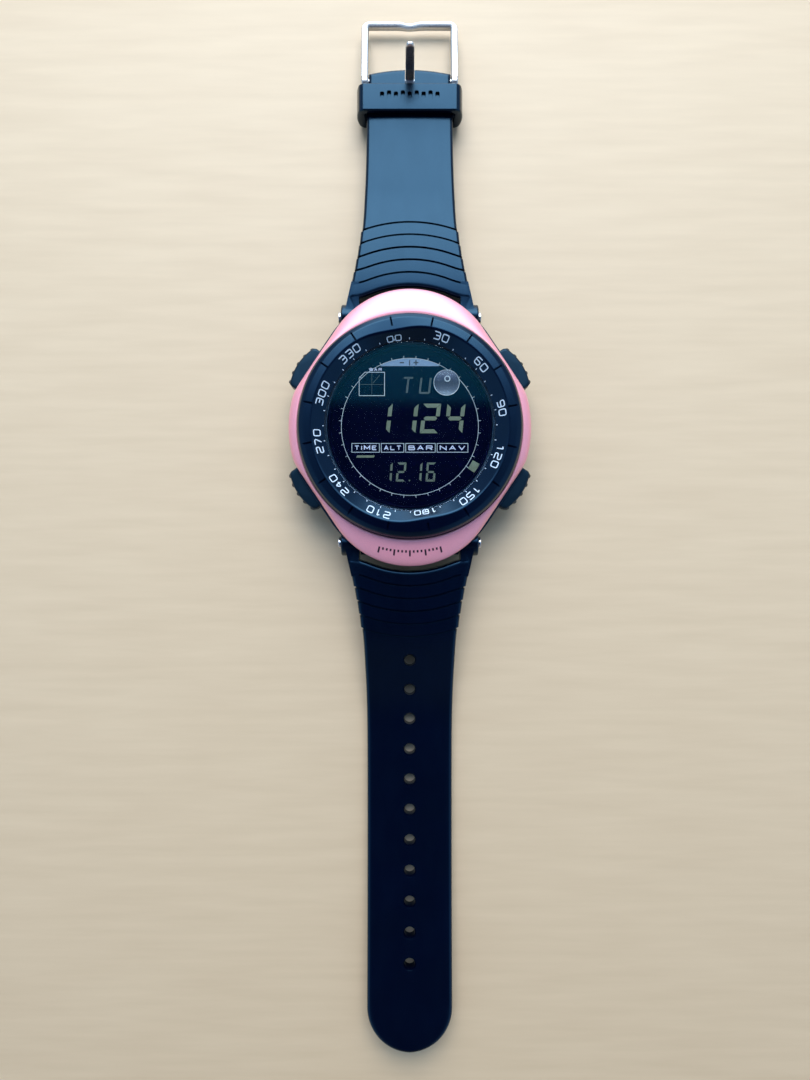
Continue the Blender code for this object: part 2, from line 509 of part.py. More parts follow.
def make_button(name, case_frame, body, degrees, side, mats):
    """Cap with stem, retaining clip, return spring and O-ring. +X of the button's frame points outwards."""
    turn = math.radians(degrees)
    place = (side * BUTTON_OFFSET * math.sin(turn), -side * BUTTON_OFFSET * math.cos(turn), BUTTON_Z)
    axis = make_axis(name + "_axis", case_frame, place, (0, 0, turn))
    cap_body = prism(button_outline(), -BUTTON_HALF_HEIGHT, BUTTON_HALF_HEIGHT)
    cap = make_object(name + "_cap", cap_body, mats["rubber"], axis)
    rim = cap.modifiers.new("Rim", "BEVEL")
    rim.width = 0.4 * MM
    rim.segments = 1
    rim.limit_method = "ANGLE"
    ridges = []
    for y in RIDGES:
        face = BUTTON_FACE - (BUTTON_FACE - BUTTON_END_FACE) * (y / BUTTON_HALF_LENGTH) ** 2
        ridges.append(block((face - 0.9, face + RIDGE_OUT), (y - RIDGE_HALF, y + RIDGE_HALF), (-1.4, 1.4)))
    boolean(cap, merged(*ridges), axis, "UNION")
    recess = along_x(disc(SPRING_RECESS_R, BUTTON_INNER - 0.5, SPRING_RECESS_END, SCREW_STEPS))
    boolean(cap, recess, axis)
    low, high = CLIP_GROOVE
    stem_profile = [(0, STEM_END), (STEM_R, STEM_END), (STEM_R, low), (STEM_NECK_R, low), (STEM_NECK_R, high),
                    (STEM_R, high), (STEM_R, SPRING_RECESS_END + 0.3), (0, SPRING_RECESS_END + 0.3)]
    boolean(cap, along_x(turned(stem_profile, SCREW_STEPS, False)), axis, "UNION")

    inside, outside = low + CLIP_GAP, high - CLIP_GAP
    clip = [(CLIP_BORE_R, inside), (CLIP_R, inside), (CLIP_R, outside), (CLIP_BORE_R, outside)]
    make_object(name + "_clip", along_x(turned(clip, SCREW_STEPS)), mats["steel"], axis)
    seal = ring(SEAL_R, SEAL_WIRE, sum(SEAL_GROOVE) / 2, SCREW_STEPS, 5)
    make_object(name + "_seal", along_x(seal), mats["rubber"], axis)
    make_object(name + "_spring", make_spring(), mats["steel"], axis)

    hollow = rounded(BUTTON_HALF_LENGTH + POCKET_GAP, BUTTON_HALF_HEIGHT + POCKET_GAP, 0.5, 2)
    boolean(body, along_x(moved(prism(hollow, POCKET_FLOOR, 30), (0, 0, 0), math.pi / 2)), axis)
    inside, outside = SEAL_GROOVE
    channel = [(0, 14), (STEM_HOLE_R, 14), (STEM_HOLE_R, inside), (SEAL_GROOVE_R, inside),
               (SEAL_GROOVE_R, outside), (STEM_HOLE_R, outside), (STEM_HOLE_R, 24), (0, 24)]
    boolean(body, along_x(turned(channel, SCREW_STEPS, False)), axis)


def make_spring(steps=10, sides=4):
    """The return spring: a helix round the stem, between the pocket floor and the cap's recess."""
    low, high = POCKET_FLOOR + SPRING_WIRE + 0.1, SPRING_RECESS_END - SPRING_WIRE - 0.1
    count = int(SPRING_TURNS * steps)
    loops = []
    for i in range(count + 1):
        turn = math.tau * i / steps
        x = low + (high - low) * i / count
        out = Vector((0, math.cos(turn), math.sin(turn)))
        loop = []
        for k in range(sides):
            spin = math.tau * k / sides
            centre = Vector((x + SPRING_WIRE * math.sin(spin), 0, 0))
            loop.append(centre + out * (SPRING_R + SPRING_WIRE * math.cos(spin)))
        loops.append(loop)
    return lofted(loops)


# ---------------------------------------------------------------- straps


def strap_half_width(s):
    return (STRAP_WIDTH + STRAP_FLARE * math.exp(-((max(s, 0) / FLARE_LENGTH) ** FLARE_POWER))) / 2


def strap_heights(s, base):
    """(underside, top) of the strap at s, in the strap's frame. base is where its flat part lies."""
    thick = STRAP_ROOT_THICK + (STRAP_THICK - STRAP_ROOT_THICK) * smooth_step(s, *TAPER)
    middle = (base + STRAP_THICK / 2 - PIN_Z) * smooth_step(s, *DESCENT)
    return middle - thick / 2, middle + thick / 2


def strap_section(s, half, low, high):
    """Eight points round the strap at s: flat sides with eased edges."""
    edge, crown = min(0.4, half / 2), min(0.8, half / 2)
    return [
        (half - edge, s, low), (half, s, low + 0.4), (half, s, high - 0.6), (half - crown, s, high),
        (crown - half, s, high), (-half, s, high - 0.6), (-half, s, low + 0.4), (edge - half, s, low),
    ]


def add_ears(strap, hinge):
    """The two knuckles round the lug pin, the hollow between them and the pin's bore."""
    for side in (1, -1):
        ends = sorted((side * EAR_INNER, side * EAR_OUTER))
        boolean(strap, along_x(disc(EAR_R, *ends, 20)), hinge, "UNION")
    centre_y = CASE_HOLLOW_Y - PIN_Y
    half_turn = math.asin(EAR_INNER / CASE_HOLLOW_R)
    arc = [half_turn * (i / 5 - 1) for i in range(11)]
    outline = [(CASE_HOLLOW_R * math.sin(t), centre_y + CASE_HOLLOW_R * math.cos(t)) for t in arc]
    outline += [(EAR_INNER, -6), (-EAR_INNER, -6)]
    boolean(strap, prism(outline, -8, 8), hinge)
    boolean(strap, along_x(disc(PIN_HOLE_R, -16, 16, SMALL_STEPS)), hinge)


def make_tail_half(hinge, rubber):
    """The long half: it dips to the table, then lifts a little to its round end."""
    end_r = STRAP_WIDTH / 2
    straight = [0, 1.5, 3, 6, 9, 12, 16, 20, 24, 28, 32, 36, 41, 46, 60, 75, 88, TAIL_LENGTH - end_r]
    stations = [(s, strap_half_width(s)) for s in straight]
    for degrees in range(14, 85, 14):
        turn = math.radians(degrees)
        stations.append((TAIL_LENGTH - end_r + end_r * math.sin(turn), end_r * math.cos(turn)))
    loops = []
    for s, half in stations:
        low, high = strap_heights(s, 0)
        lift = TAIL_RISE * max(0.0, (s - RISE_START) / (TAIL_LENGTH - RISE_START)) ** 2
        loops.append(strap_section(s, half, low + lift, high + lift))
    tip = [(x * 0.3, TAIL_LENGTH, z) for x, _, z in loops[-1]]
    strap = make_object("strap_tail_half", lofted(loops + [tip]), rubber, hinge)
    add_ears(strap, hinge)
    holes = [moved(disc(HOLE_R, -8, 6, 12), (0, FIRST_HOLE + i * HOLE_PITCH, 0)) for i in range(HOLE_COUNT)]
    boolean(strap, merged(*holes), hinge)


def make_buckle_half(hinge, rubber):
    """The short half: its flat end lies on the keeper's floor and carries the buckle bar."""
    stations = [(s, strap_half_width(s)) for s in (0, 1.5, 3, 6, 9, 12, 16, 20, 24, 28, 32, 36, 41, 48.7)]
    end = BUCKLE_STRAP_END
    stations += [(48.8, BUCKLE_STRAP_HALF), (end - 1.1, BUCKLE_STRAP_HALF), (end, 5.0)]
    loops = [strap_section(s, half, *strap_heights(s, STRAP_LIFT)) for s, half in stations]
    strap = make_object("strap_buckle_half", lofted(loops), rubber, hinge)
    add_ears(strap, hinge)
    slot = block((-TONGUE_SLOT_HALF, TONGUE_SLOT_HALF), (TONGUE_SLOT_START, BUCKLE_STRAP_END + 2), (-8, 4))
    boolean(strap, slot, hinge)
    bar = along_x(disc(BAR_HOLE_R, -12, 12, SMALL_STEPS), (0, BAR_S, BAR_Z - PIN_Z))
    boolean(strap, bar, hinge)


def make_strap_pin(name, case_frame, side, steel):
    """A tube with a head at one end, and the slotted screw that closes its other end."""
    place = (0, side * PIN_Y, PIN_Z)
    under = EAR_OUTER + 0.1
    end = under + PIN_HEAD
    tube = [(0, 1 - PIN_SCREW_END), (PIN_THREAD_R, 1 - PIN_SCREW_END), (PIN_THREAD_R, -PIN_END),
            (PIN_R, -PIN_END), (PIN_R, under), (PIN_HEAD_R, under), (PIN_HEAD_R, end), (0, end)]
    pin = make_object(name, along_x(turned(tube, SMALL_STEPS, False), place), steel, case_frame)
    thread = [(0, -end), (PIN_HEAD_R, -end), (PIN_HEAD_R, -under), (PIN_SCREW_R, -under),
              (PIN_SCREW_R, -PIN_SCREW_END), (0, -PIN_SCREW_END)]
    thread = along_x(turned(thread, SMALL_STEPS, False), place)
    screw = make_object(name + "_screw", thread, steel, case_frame)
    y = side * PIN_Y
    for head, x in ((pin, end), (screw, -end)):
        slot = block((x - PIN_SLOT_DEPTH, x + PIN_SLOT_DEPTH), (y - 2, y + 2),
                     (PIN_Z - PIN_SLOT_HALF, PIN_Z + PIN_SLOT_HALF))
        boolean(head, slot, case_frame)


# ---------------------------------------------------------------- buckle and keeper


def frame_lift(y):
    """How far the buckle frame has risen at y from the bar: it curves up towards its outer bar."""
    return FRAME_RISE * smooth_step(y, -1, FRAME_REACH)


def make_buckle_frame(hinge, steel):
    """A U-shaped wire frame swept round three sides, with an eye at each arm's end."""
    corner = FRAME_CORNER
    arm_x = (FRAME_INNER + FRAME_OUTER) / 2
    bar_y = FRAME_REACH - FRAME_BAR / 2
    path = [(arm_x, y) for y in (0.2, 3.0, 6.0, bar_y - corner)]
    path += [(arm_x - corner + corner * math.cos(t), bar_y - corner + corner * math.sin(t))
             for t in (math.radians(a) for a in (30, 60))]
    path += [(x, bar_y) for x in (arm_x - corner, 4.0, 1.3, 0.0)]
    path += [(-x, y) for x, y in reversed(path[:-1])]
    loops = []
    for i, (x, y) in enumerate(path):
        before, after = path[max(i - 1, 0)], path[min(i + 1, len(path) - 1)]
        along = Vector((after[0] - before[0], after[1] - before[1])).normalized()
        side = Vector((along.y, -along.x))
        on_bar = abs(x) < arm_x - corner + 0.01
        half = (FRAME_BAR if on_bar else FRAME_OUTER - FRAME_INNER) / 2
        notch = NOTCH_DEPTH if abs(x) < 0.5 else 0.0
        z, tall = frame_lift(y), FRAME_HEIGHT / 2
        section = [(half, -tall + 0.3), (half, tall - 0.4), (half - 0.4, tall - notch),
                   (0.4 - half, tall - notch), (-half, tall - 0.4), (-half, -tall + 0.3),
                   (0.3 - half, -tall), (half - 0.3, -tall)]
        loops.append([(x + side.x * u, y + side.y * u, z + v) for u, v in section])
    frame = make_object("buckle_frame", lofted(loops), steel, hinge)
    for side in (1, -1):
        ends = sorted((side * FRAME_INNER, side * FRAME_OUTER))
        boolean(frame, along_x(disc(FRAME_EYE_R, *ends, SMALL_STEPS)), hinge, "UNION")
    boolean(frame, along_x(disc(BAR_HOLE_R, -12, 12, SMALL_STEPS)), hinge)


def make_tongue(hinge, steel):
    """An eye round the bar and a flat pin, modelled along +Y and stood up by its object's rotation."""
    half, tall = TONGUE_WIDTH / 2, TONGUE_THICK / 2
    stations = [(1.0, half, tall), (9.5, half, tall), (11.4, half * 0.9, tall * 0.85),
                (TONGUE_LENGTH, half * 0.55, tall * 0.5)]
    loops = [[(w, s, -t * 0.5), (w, s, t * 0.5), (w * 0.6, s, t), (-w * 0.6, s, t), (-w, s, t * 0.5),
              (-w, s, -t * 0.5), (-w * 0.6, s, -t), (w * 0.6, s, -t)] for s, w, t in stations]
    tongue = make_object("buckle_tongue", lofted(loops), steel, hinge)
    boolean(tongue, along_x(disc(TONGUE_EYE_R, -half, half, SMALL_STEPS)), hinge, "UNION")
    boolean(tongue, along_x(disc(BAR_HOLE_R, -3, 3, SMALL_STEPS)), hinge)


def make_keeper(slide, rubber):
    """A free loop round the strap, with room for the tail above it."""
    outer_z = KEEPER_TOP / 2 - PIN_Z
    inner_z = (KEEPER_CEILING + KEEPER_FLOOR) / 2 - PIN_Z
    outer = rounded(KEEPER_HALF, KEEPER_TOP / 2, KEEPER_CORNER, 3)
    inner = rounded(KEEPER_INNER_HALF, (KEEPER_CEILING - KEEPER_FLOOR) / 2, KEEPER_INNER_CORNER, 3)
    loops = [[(x, y, z + outer_z) for x, z in outer] for y in (KEEPER_START, KEEPER_END)]
    loops += [[(x, y, z + inner_z) for x, z in inner] for y in (KEEPER_END, KEEPER_START)]
    make_object("keeper", lofted(loops, ring_shaped=True), rubber, slide)


def make_bar(hinge, steel):
    place = (0, BAR_S, BAR_Z - PIN_Z)
    make_object("buckle_bar", along_x(disc(BAR_R, -BAR_HALF, BAR_HALF, SMALL_STEPS), place), steel, hinge)


# ---------------------------------------------------------------- assembly


def main():
    clear_scene()
    mats = {
        "plastic": make_material("case plastic", (0.02, 0.02, 0.025), 0.5),
        "pink": make_material("pink metallic paint", (0.80, 0.42, 0.52), 0.3, 0.4),
        "bezel": make_material("bezel plastic", (0.02, 0.03, 0.05), 0.35),
        "glass": make_material("mineral glass", (0.9, 0.95, 0.95), 0.05, alpha=0.25),
        "rubber": make_material("black elastomer", (0.02, 0.03, 0.05), 0.55),
        "steel": make_material("satin steel", (0.7, 0.7, 0.72), 0.25, 1.0),
        "brass": make_material("gold-plated contact", (0.8, 0.6, 0.25), 0.3, 1.0),
        "lcd": make_material("negative display", (0.01, 0.012, 0.02), 0.15),
        "dial": make_material("dial print", (0.015, 0.02, 0.03), 0.4),
        "film": make_material("backlight film", (0.8, 0.85, 0.8), 0.5),
        "white_plastic": make_material("module plastic", (0.75, 0.75, 0.72), 0.5),
        "board": make_material("circuit board", (0.02, 0.18, 0.07), 0.4),
        "chip": make_material("chip package", (0.03, 0.03, 0.03), 0.5),
    }
    case = make_axis("case_frame", None, (0, CASE_Y, 0))
    body = make_mid_case(case, mats["plastic"])
    make_top_cover(case, mats["pink"])
    make_bezel(make_axis("bezel_axis", case), mats["bezel"])
    make_crystal(case, mats["glass"], mats["rubber"])
    make_click_ring(case, mats["steel"])
    make_display(case, mats)
    make_electronics(case, mats)
    make_battery(case, mats)
    make_case_back(case, mats)
    make_battery_cover(make_axis("battery_cover_axis", case), mats)

    corners = (
        ("button_upper_right", FLANK_DEGREES, 1), ("button_upper_left", 180 - FLANK_DEGREES, -1),
        ("button_lower_left", 180 + FLANK_DEGREES, 1), ("button_lower_right", -FLANK_DEGREES, -1),
    )
    for name, degrees, side in corners:
        make_button(name, case, body, degrees, side, mats)

    upper = make_axis("upper_strap_hinge", case, (0, PIN_Y, PIN_Z))
    lower = make_axis("lower_strap_hinge", case, (0, -PIN_Y, PIN_Z), (0, 0, math.pi))
    make_buckle_half(upper, mats["rubber"])
    make_tail_half(lower, mats["rubber"])
    make_strap_pin("strap_pin_upper", case, 1, mats["steel"])
    make_strap_pin("strap_pin_lower", case, -1, mats["steel"])
    make_bar(upper, mats["steel"])
    bar_place = (0, BAR_S, BAR_Z - PIN_Z)
    make_buckle_frame(make_axis("buckle_hinge", upper, bar_place), mats["steel"])
    tongue_hinge = make_axis("tongue_hinge", upper, bar_place, (math.radians(TONGUE_ANGLE), 0, 0))
    make_tongue(tongue_hinge, mats["steel"])
    make_keeper(make_axis("keeper_slide", upper), mats["rubber"])


main()
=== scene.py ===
import json
import math

import bmesh
import bpy
from mathutils import Matrix, Vector


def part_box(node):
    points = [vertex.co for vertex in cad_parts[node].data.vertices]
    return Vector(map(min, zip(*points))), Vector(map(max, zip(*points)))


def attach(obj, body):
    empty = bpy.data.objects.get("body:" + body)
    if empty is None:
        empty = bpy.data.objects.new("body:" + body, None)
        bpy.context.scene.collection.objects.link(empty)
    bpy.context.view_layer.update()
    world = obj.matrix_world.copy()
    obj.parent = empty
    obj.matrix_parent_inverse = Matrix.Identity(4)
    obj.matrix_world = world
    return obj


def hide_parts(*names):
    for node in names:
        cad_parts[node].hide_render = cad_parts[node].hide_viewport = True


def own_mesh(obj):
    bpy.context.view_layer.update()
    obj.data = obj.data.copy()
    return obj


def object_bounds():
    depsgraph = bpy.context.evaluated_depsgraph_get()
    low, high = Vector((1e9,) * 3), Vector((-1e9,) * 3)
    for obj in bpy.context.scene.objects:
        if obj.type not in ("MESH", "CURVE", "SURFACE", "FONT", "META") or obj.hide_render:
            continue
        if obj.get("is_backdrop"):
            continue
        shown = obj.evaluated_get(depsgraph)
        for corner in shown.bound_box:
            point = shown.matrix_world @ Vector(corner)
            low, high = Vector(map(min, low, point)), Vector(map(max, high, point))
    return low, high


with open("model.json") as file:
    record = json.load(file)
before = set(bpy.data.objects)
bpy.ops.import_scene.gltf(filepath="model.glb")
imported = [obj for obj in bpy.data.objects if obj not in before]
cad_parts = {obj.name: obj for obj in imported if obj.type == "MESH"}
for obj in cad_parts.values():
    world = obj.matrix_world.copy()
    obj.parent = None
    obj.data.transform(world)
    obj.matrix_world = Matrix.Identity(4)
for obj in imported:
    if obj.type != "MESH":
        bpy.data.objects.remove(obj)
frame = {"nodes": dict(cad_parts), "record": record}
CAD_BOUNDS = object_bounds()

# ---------------------------------------------------------------- sizes
# Everything is modelled in millimetres about the case axis, on the table. The frame says where that axis is.
MM = 0.001


def cad_box(node):
    low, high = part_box(node)
    return low / MM, high / MM


CRYSTAL_LOW, CRYSTAL_HIGH = cad_box("crystal")
CASE_Y = (CRYSTAL_LOW.y + CRYSTAL_HIGH.y) / 2


def centre_of(node):
    low, high = cad_box(node)
    return (low + high) / 2 - Vector((0, CASE_Y, 0))


PIN = centre_of("strap_pin_upper")
BAR = centre_of("buckle_bar")
PIN_Y, PIN_Z = PIN.y, PIN.z
BAR_S, BAR_Z = BAR.y - PIN_Y, BAR.z
TAIL_LENGTH = -cad_box("strap_tail_half")[0].y + CASE_Y - PIN_Y
FRAME_END = cad_box("buckle_frame")[1].y - CASE_Y

STEPS = 192  # facets round the case
MERGE = 0.0005

FLANK_ANGLE = math.radians(34)
COVER_SIDE, COVER_FLANK, COVER_TIP = 25.0, 23.95, 28.6
BODY_SIDE, BODY_FLANK, BODY_TIP = 24.8, 24.45, 28.2
BODY_BOTTOM, BODY_TOP = 2.1, 9.0
CAVITY_R, UPPER_CAVITY_R, CAVITY_STEP, LEDGE = 15.8, 16.9, 9.0, 11.1
TURRET_R, TURRET_BORE, TURRET_TOP = 18.6, 17.95, 12.2
CLICK_LOW, CLICK_HIGH = 10.8, 11.4
CRYSTAL_R, CRYSTAL_BASE, CRYSTAL_TOP, SEAT_TOP = 17.3, 11.15, 12.4, 12.1
DIAL_APERTURE, DIAL_R, DIAL_BASE, DIAL_TOP = 16.2, 16.75, 10.45, 10.9
BEZEL_R, BEZEL_BORE, BEZEL_LIP, BEZEL_BASE, BEZEL_CREST = 23.0, 18.85, 17.5, 9.3, 14.5
COVER_INNER, COVER_BASE, COVER_EDGE, COVER_CREST = BEZEL_R + 0.05, BODY_TOP + 0.1, 9.9, 11.75
LCD_R, LCD_BASE, LCD_TOP = 16.4, 9.35, 10.35
VIAL_R, VIAL_X, VIAL_Y, VIAL_TOP = 2.65, 7.5, 9.0, 11.05

BUTTON_OFFSET, BUTTON_Z = 1.75, 6.5
BUTTON_FACE, BUTTON_END_FACE, BUTTON_INNER = 26.9, 25.9, 23.6
BUTTON_HALF_LENGTH, BUTTON_HALF_HEIGHT = 4.7, 2.0
POCKET_FLOOR, POCKET_GAP, BUTTON_TRAVEL = 22.6, 0.25, 0.8
SPRING_R, SPRING_WIRE, SPRING_TURNS, SPRING_RECESS_R, SPRING_END = 1.42, 0.16, 4.5, 1.9, 25.0
STEM_R, STEM_NECK_R, STEM_HOLE_R, STEM_END, CLIP_GROOVE = 0.9, 0.6, 1.0, 14.45, (14.7, 15.15)
VENT_R, VENT_BORE_R, VENT_FLOOR = 1.5, 0.5, 23.6
RIDGES, RIDGE_OUT = (-4.1, -2.15, 0, 2.15, 4.1), 0.33
BUTTONS = {
    "button_upper_right": (34, 1), "button_upper_left": (146, -1),
    "button_lower_left": (214, 1), "button_lower_right": (-34, -1),
}

INSIDE, OUTSIDE = 14, 30  # radii clear of the case wall, where cuts through it start and end

BACK_R, BACK_TOP, COVER_HOLE_R, BATTERY_COVER_R = 20.6, 2.0, 13.6, 13.4
SCREW_COUNT, SCREW_CIRCLE, SCREW_HEAD_R, SCREW_SHANK_R = 4, 18.45, 1.45, 0.8
SCREW_BASE, SCREW_HEAD_TOP, SCREW_END = 0.15, 1.1, 5.2
SINK_R, SINK_FLOOR, SINK_HOLE_R, SCREW_HOLE_R, SCREW_HOLE = 1.6, 1.2, 1.0, 0.9, (1.5, 5.6)
CROSS_HALF, CROSS_HALF_WIDTH, CROSS_FLOOR = 1.0, 0.22, 0.6
GLAND_INNER, GLAND_OUTER, GLAND_FLOOR = 16.0, 16.75, 1.3
LID_FACE, LID_PLATE, LID_SKIRT_R, LID_TOP, LID_GROOVE_R, LID_GROOVE = 0.1, 1.7, 12.6, 2.75, 12.9, (0.6, 1.2)
BAYONET_COUNT, TAB_INNER, TAB_R, TAB_BASE, TAB_TOP, GATE_R = 3, 13.0, 14.4, 2.15, 2.7, 14.7
COIN_SLOT_HALF, COIN_SLOT_HALF_WIDTH, COIN_SLOT_FLOOR = 10.5, 1.0, 0.95

STRAP_WIDTH, STRAP_FLARE, FLARE_LENGTH, FLARE_POWER = 18.2, 8.9, 14.0, 1.4
ROOT_THICK, STRAP_THICK = 5.2, 2.6
HOLLOW_R = 22.3  # the strap's end hollows round the case tip
EAR_INNER, EAR_OUTER, EAR_R, PIN_HOLE_R = 10.6, 14.4, 2.7, 0.95
LUG_HALF, LUG_R, LUG_BLANK, EAR_POCKET_R, EAR_POCKET_END = 10.3, 2.5, 12, 3.0, 18
RIB_PITCH = 2.7
GROOVES = [9.0 + RIB_PITCH * i for i in range(5)]
GROOVE_HALF, GROOVE_DEPTH = 0.22, 0.5
HOLE_COUNT, HOLE_PITCH, FIRST_HOLE, HOLE_R = 11, 6.5, 25.0, 1.15
TAIL_RISE, RISE_START = 3.0, 46
STRAP_LIFT, BUCKLE_STRAP_END, BUCKLE_STRAP_HALF = 3.0, 52.8, 8.7
PIN_R, PIN_HEAD_R, PIN_HEAD, PIN_FACE, PIN_END = 0.8, 1.25, 14.5, 15.05, 14.2
PIN_THREAD_R, PIN_THREAD_FLOOR, PIN_SCREW_R, PIN_SCREW_END = 0.5, 7.5, 0.4, 8.5
BAR_R, BAR_HOLE_R, BAR_HALF = 0.7, 0.85, 10.2
FRAME_INNER, FRAME_OUTER, FRAME_BAR, FRAME_HEIGHT, FRAME_RISE = 8.8, 10.35, 1.2, 1.7, -2.0
FRAME_REACH = FRAME_END - PIN_Y - BAR_S
TONGUE_LENGTH, TONGUE_ANGLE = 13.2, 90
KEEPER_INNER_HALF, KEEPER_FLOOR, KEEPER_CEILING = 9.45, 1.1, 6.2

# ---------------------------------------------------------------- mesh helpers


def polar(radius, turn):
    return radius * math.cos(turn), radius * math.sin(turn)


def circle(steps):
    """Angles all round."""
    return [math.tau * i / steps for i in range(steps)]


def turned(profile, steps=STEPS, closed=True):
    """A shape turned about Z from (r, z) points. An open profile starts and ends on the axis."""
    bm = bmesh.new()
    points = [bm.verts.new((r, 0, z)) for r, z in profile]
    pairs = list(zip(points, points[1:]))
    if closed:
        pairs.append((points[-1], points[0]))
    edges = [bm.edges.new(pair) for pair in pairs]
    bmesh.ops.spin(bm, geom=points + edges, axis=(0, 0, 1), cent=(0, 0, 0), angle=math.tau, steps=steps)
    bmesh.ops.remove_doubles(bm, verts=bm.verts, dist=MERGE)
    bmesh.ops.recalc_face_normals(bm, faces=bm.faces)
    return bm


def filleted(points, segments=4, closed=True):
    """Rounds the corners of a polyline. Each point is (u, v) or (u, v, radius)."""
    result = []
    count = len(points)
    for i, point in enumerate(points):
        here = Vector(point[:2])
        radius = point[2] if len(point) > 2 else 0
        if not radius or (not closed and i in (0, count - 1)):
            result.append(tuple(here))
            continue
        before = Vector(points[i - 1][:2]) - here
        after = Vector(points[(i + 1) % count][:2]) - here
        half = before.angle(after) / 2
        cut = min(radius / math.tan(half), before.length * 0.49, after.length * 0.49)
        start, end = here + before.normalized() * cut, here + after.normalized() * cut
        for k in range(segments + 1):
            t = k / segments
            result.append(tuple(start * (1 - t) ** 2 + here * 2 * t * (1 - t) + end * t**2))
    return result


def lofted(loops, ring_shaped=False):
    """Skins loops of the same number of points. A ring-shaped loft joins the last loop to the first."""
    bm = bmesh.new()
    rows = [[bm.verts.new(point) for point in loop] for loop in loops]
    pairs = list(zip(rows, rows[1:]))
    if ring_shaped:
        pairs.append((rows[-1], rows[0]))
    for low, high in pairs:
        count = len(low)
        for i in range(count):
            j = (i + 1) % count
            bm.faces.new((low[i], low[j], high[j], high[i]))
    if not ring_shaped:
        bm.faces.new(reversed(rows[0]))
        bm.faces.new(rows[-1])
    bmesh.ops.recalc_face_normals(bm, faces=bm.faces)
    return bm


def prism(outline, low, high):
    """An outline of (x, y) points raised from low to high."""
    return lofted([[(x, y, low) for x, y in outline], [(x, y, high) for x, y in outline]])


def block(x, y, z):
    return prism([(x[0], y[0]), (x[1], y[0]), (x[1], y[1]), (x[0], y[1])], *z)


def lathed(profile, steps=STEPS, segments=3):
    """A solid of revolution from (r, z) or (r, z, radius) points that start and end on the Z axis."""
    return turned(filleted(profile, segments, closed=False), steps, closed=False)


def rod(radius, low, high, steps=32, edge=0.0):
    """A round bar on the Z axis, with rounded ends."""
    return lathed([(0, low), (radius, low, edge), (radius, high, edge), (0, high)], steps)


def along_x(bm, place=(0, 0, 0)):
    bmesh.ops.rotate(bm, verts=bm.verts, cent=(0, 0, 0), matrix=Matrix.Rotation(math.pi / 2, 3, "Y"))
    bmesh.ops.translate(bm, verts=bm.verts, vec=place)
    return bm


def moved(bm, place=(0, 0, 0), turn=0.0):
    """Turns a shape about Z, then moves it."""
    bmesh.ops.rotate(bm, verts=bm.verts, cent=(0, 0, 0), matrix=Matrix.Rotation(turn, 3, "Z"))
    bmesh.ops.translate(bm, verts=bm.verts, vec=place)
    return bm


def merged(*parts):
    whole = bmesh.new()
    for part in parts:
        mesh = bpy.data.meshes.new("part")
        part.to_mesh(mesh)
        part.free()
        whole.from_mesh(mesh)
        bpy.data.meshes.remove(mesh)
    return whole


def new_object(name, data):
    obj = bpy.data.objects.new(name, data)
    bpy.context.scene.collection.objects.link(obj)
    return obj


def combine(target, cutter, operation="DIFFERENCE"):
    """An exact Boolean of two bmeshes, returned as a new one."""
    pair = []
    for bm in (target, cutter):
        bmesh.ops.triangulate(bm, faces=[f for f in bm.faces if len(f.verts) > 4])
        mesh = bpy.data.meshes.new("boolean")
        bm.to_mesh(mesh)
        bm.free()
        pair.append(new_object("boolean", mesh))
    modifier = pair[0].modifiers.new("Boolean", "BOOLEAN")
    modifier.object = pair[1]
    modifier.operation = operation
    modifier.solver = "EXACT"
    result = bmesh.new()
    result.from_object(pair[0], bpy.context.evaluated_depsgraph_get())
    for obj in pair:
        mesh = obj.data
        bpy.data.objects.remove(obj)
        bpy.data.meshes.remove(mesh)
    bmesh.ops.remove_doubles(result, verts=result.verts, dist=MERGE)
    return result


def add_piece(name, bm, body, slot, replaces=(), sharp=35, material=None):
    """Puts a bmesh in millimetres about the case axis into the scene as a piece that rides on a CAD body.

    It has its slot's material unless it is given its own."""
    bmesh.ops.translate(bm, verts=bm.verts, vec=(0, CASE_Y, 0))
    bmesh.ops.scale(bm, vec=(MM, MM, MM), verts=bm.verts)
    bmesh.ops.recalc_face_normals(bm, faces=bm.faces)
    mesh = bpy.data.meshes.new(name)
    bm.to_mesh(mesh)
    bm.free()
    mesh.shade_smooth()
    mesh.set_sharp_from_angle(angle=math.radians(sharp))
    mesh.materials.append(material or MATERIALS[slot])
    obj = new_object(name, mesh)
    normals = obj.modifiers.new("Normals", "WEIGHTED_NORMAL")
    normals.keep_sharp = True
    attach(obj, body)
    if replaces:
        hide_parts(*replaces)
    return obj


def smooth_step(value, low, high):
    share = min(1.0, max(0.0, (value - low) / (high - low)))
    return share * share * (3 - 2 * share)


def blend_rows(rows, parts):
    """Points between the given ones along a Catmull-Rom curve, with the given number of parts per span."""
    result = []
    for i in range(len(rows) - 1):
        a, b, c, d = (Vector(rows[min(max(i + k, 0), len(rows) - 1)]) for k in (-1, 0, 1, 2))
        for k in range(parts):
            t = k / parts
            point = b * 2 + (c - a) * t + (a * 2 - b * 5 + c * 4 - d) * t**2 + (b * 3 - a - c * 3 + d) * t**3
            result.append(point / 2)
    return result + [Vector(rows[-1])]


# ---------------------------------------------------------------- materials


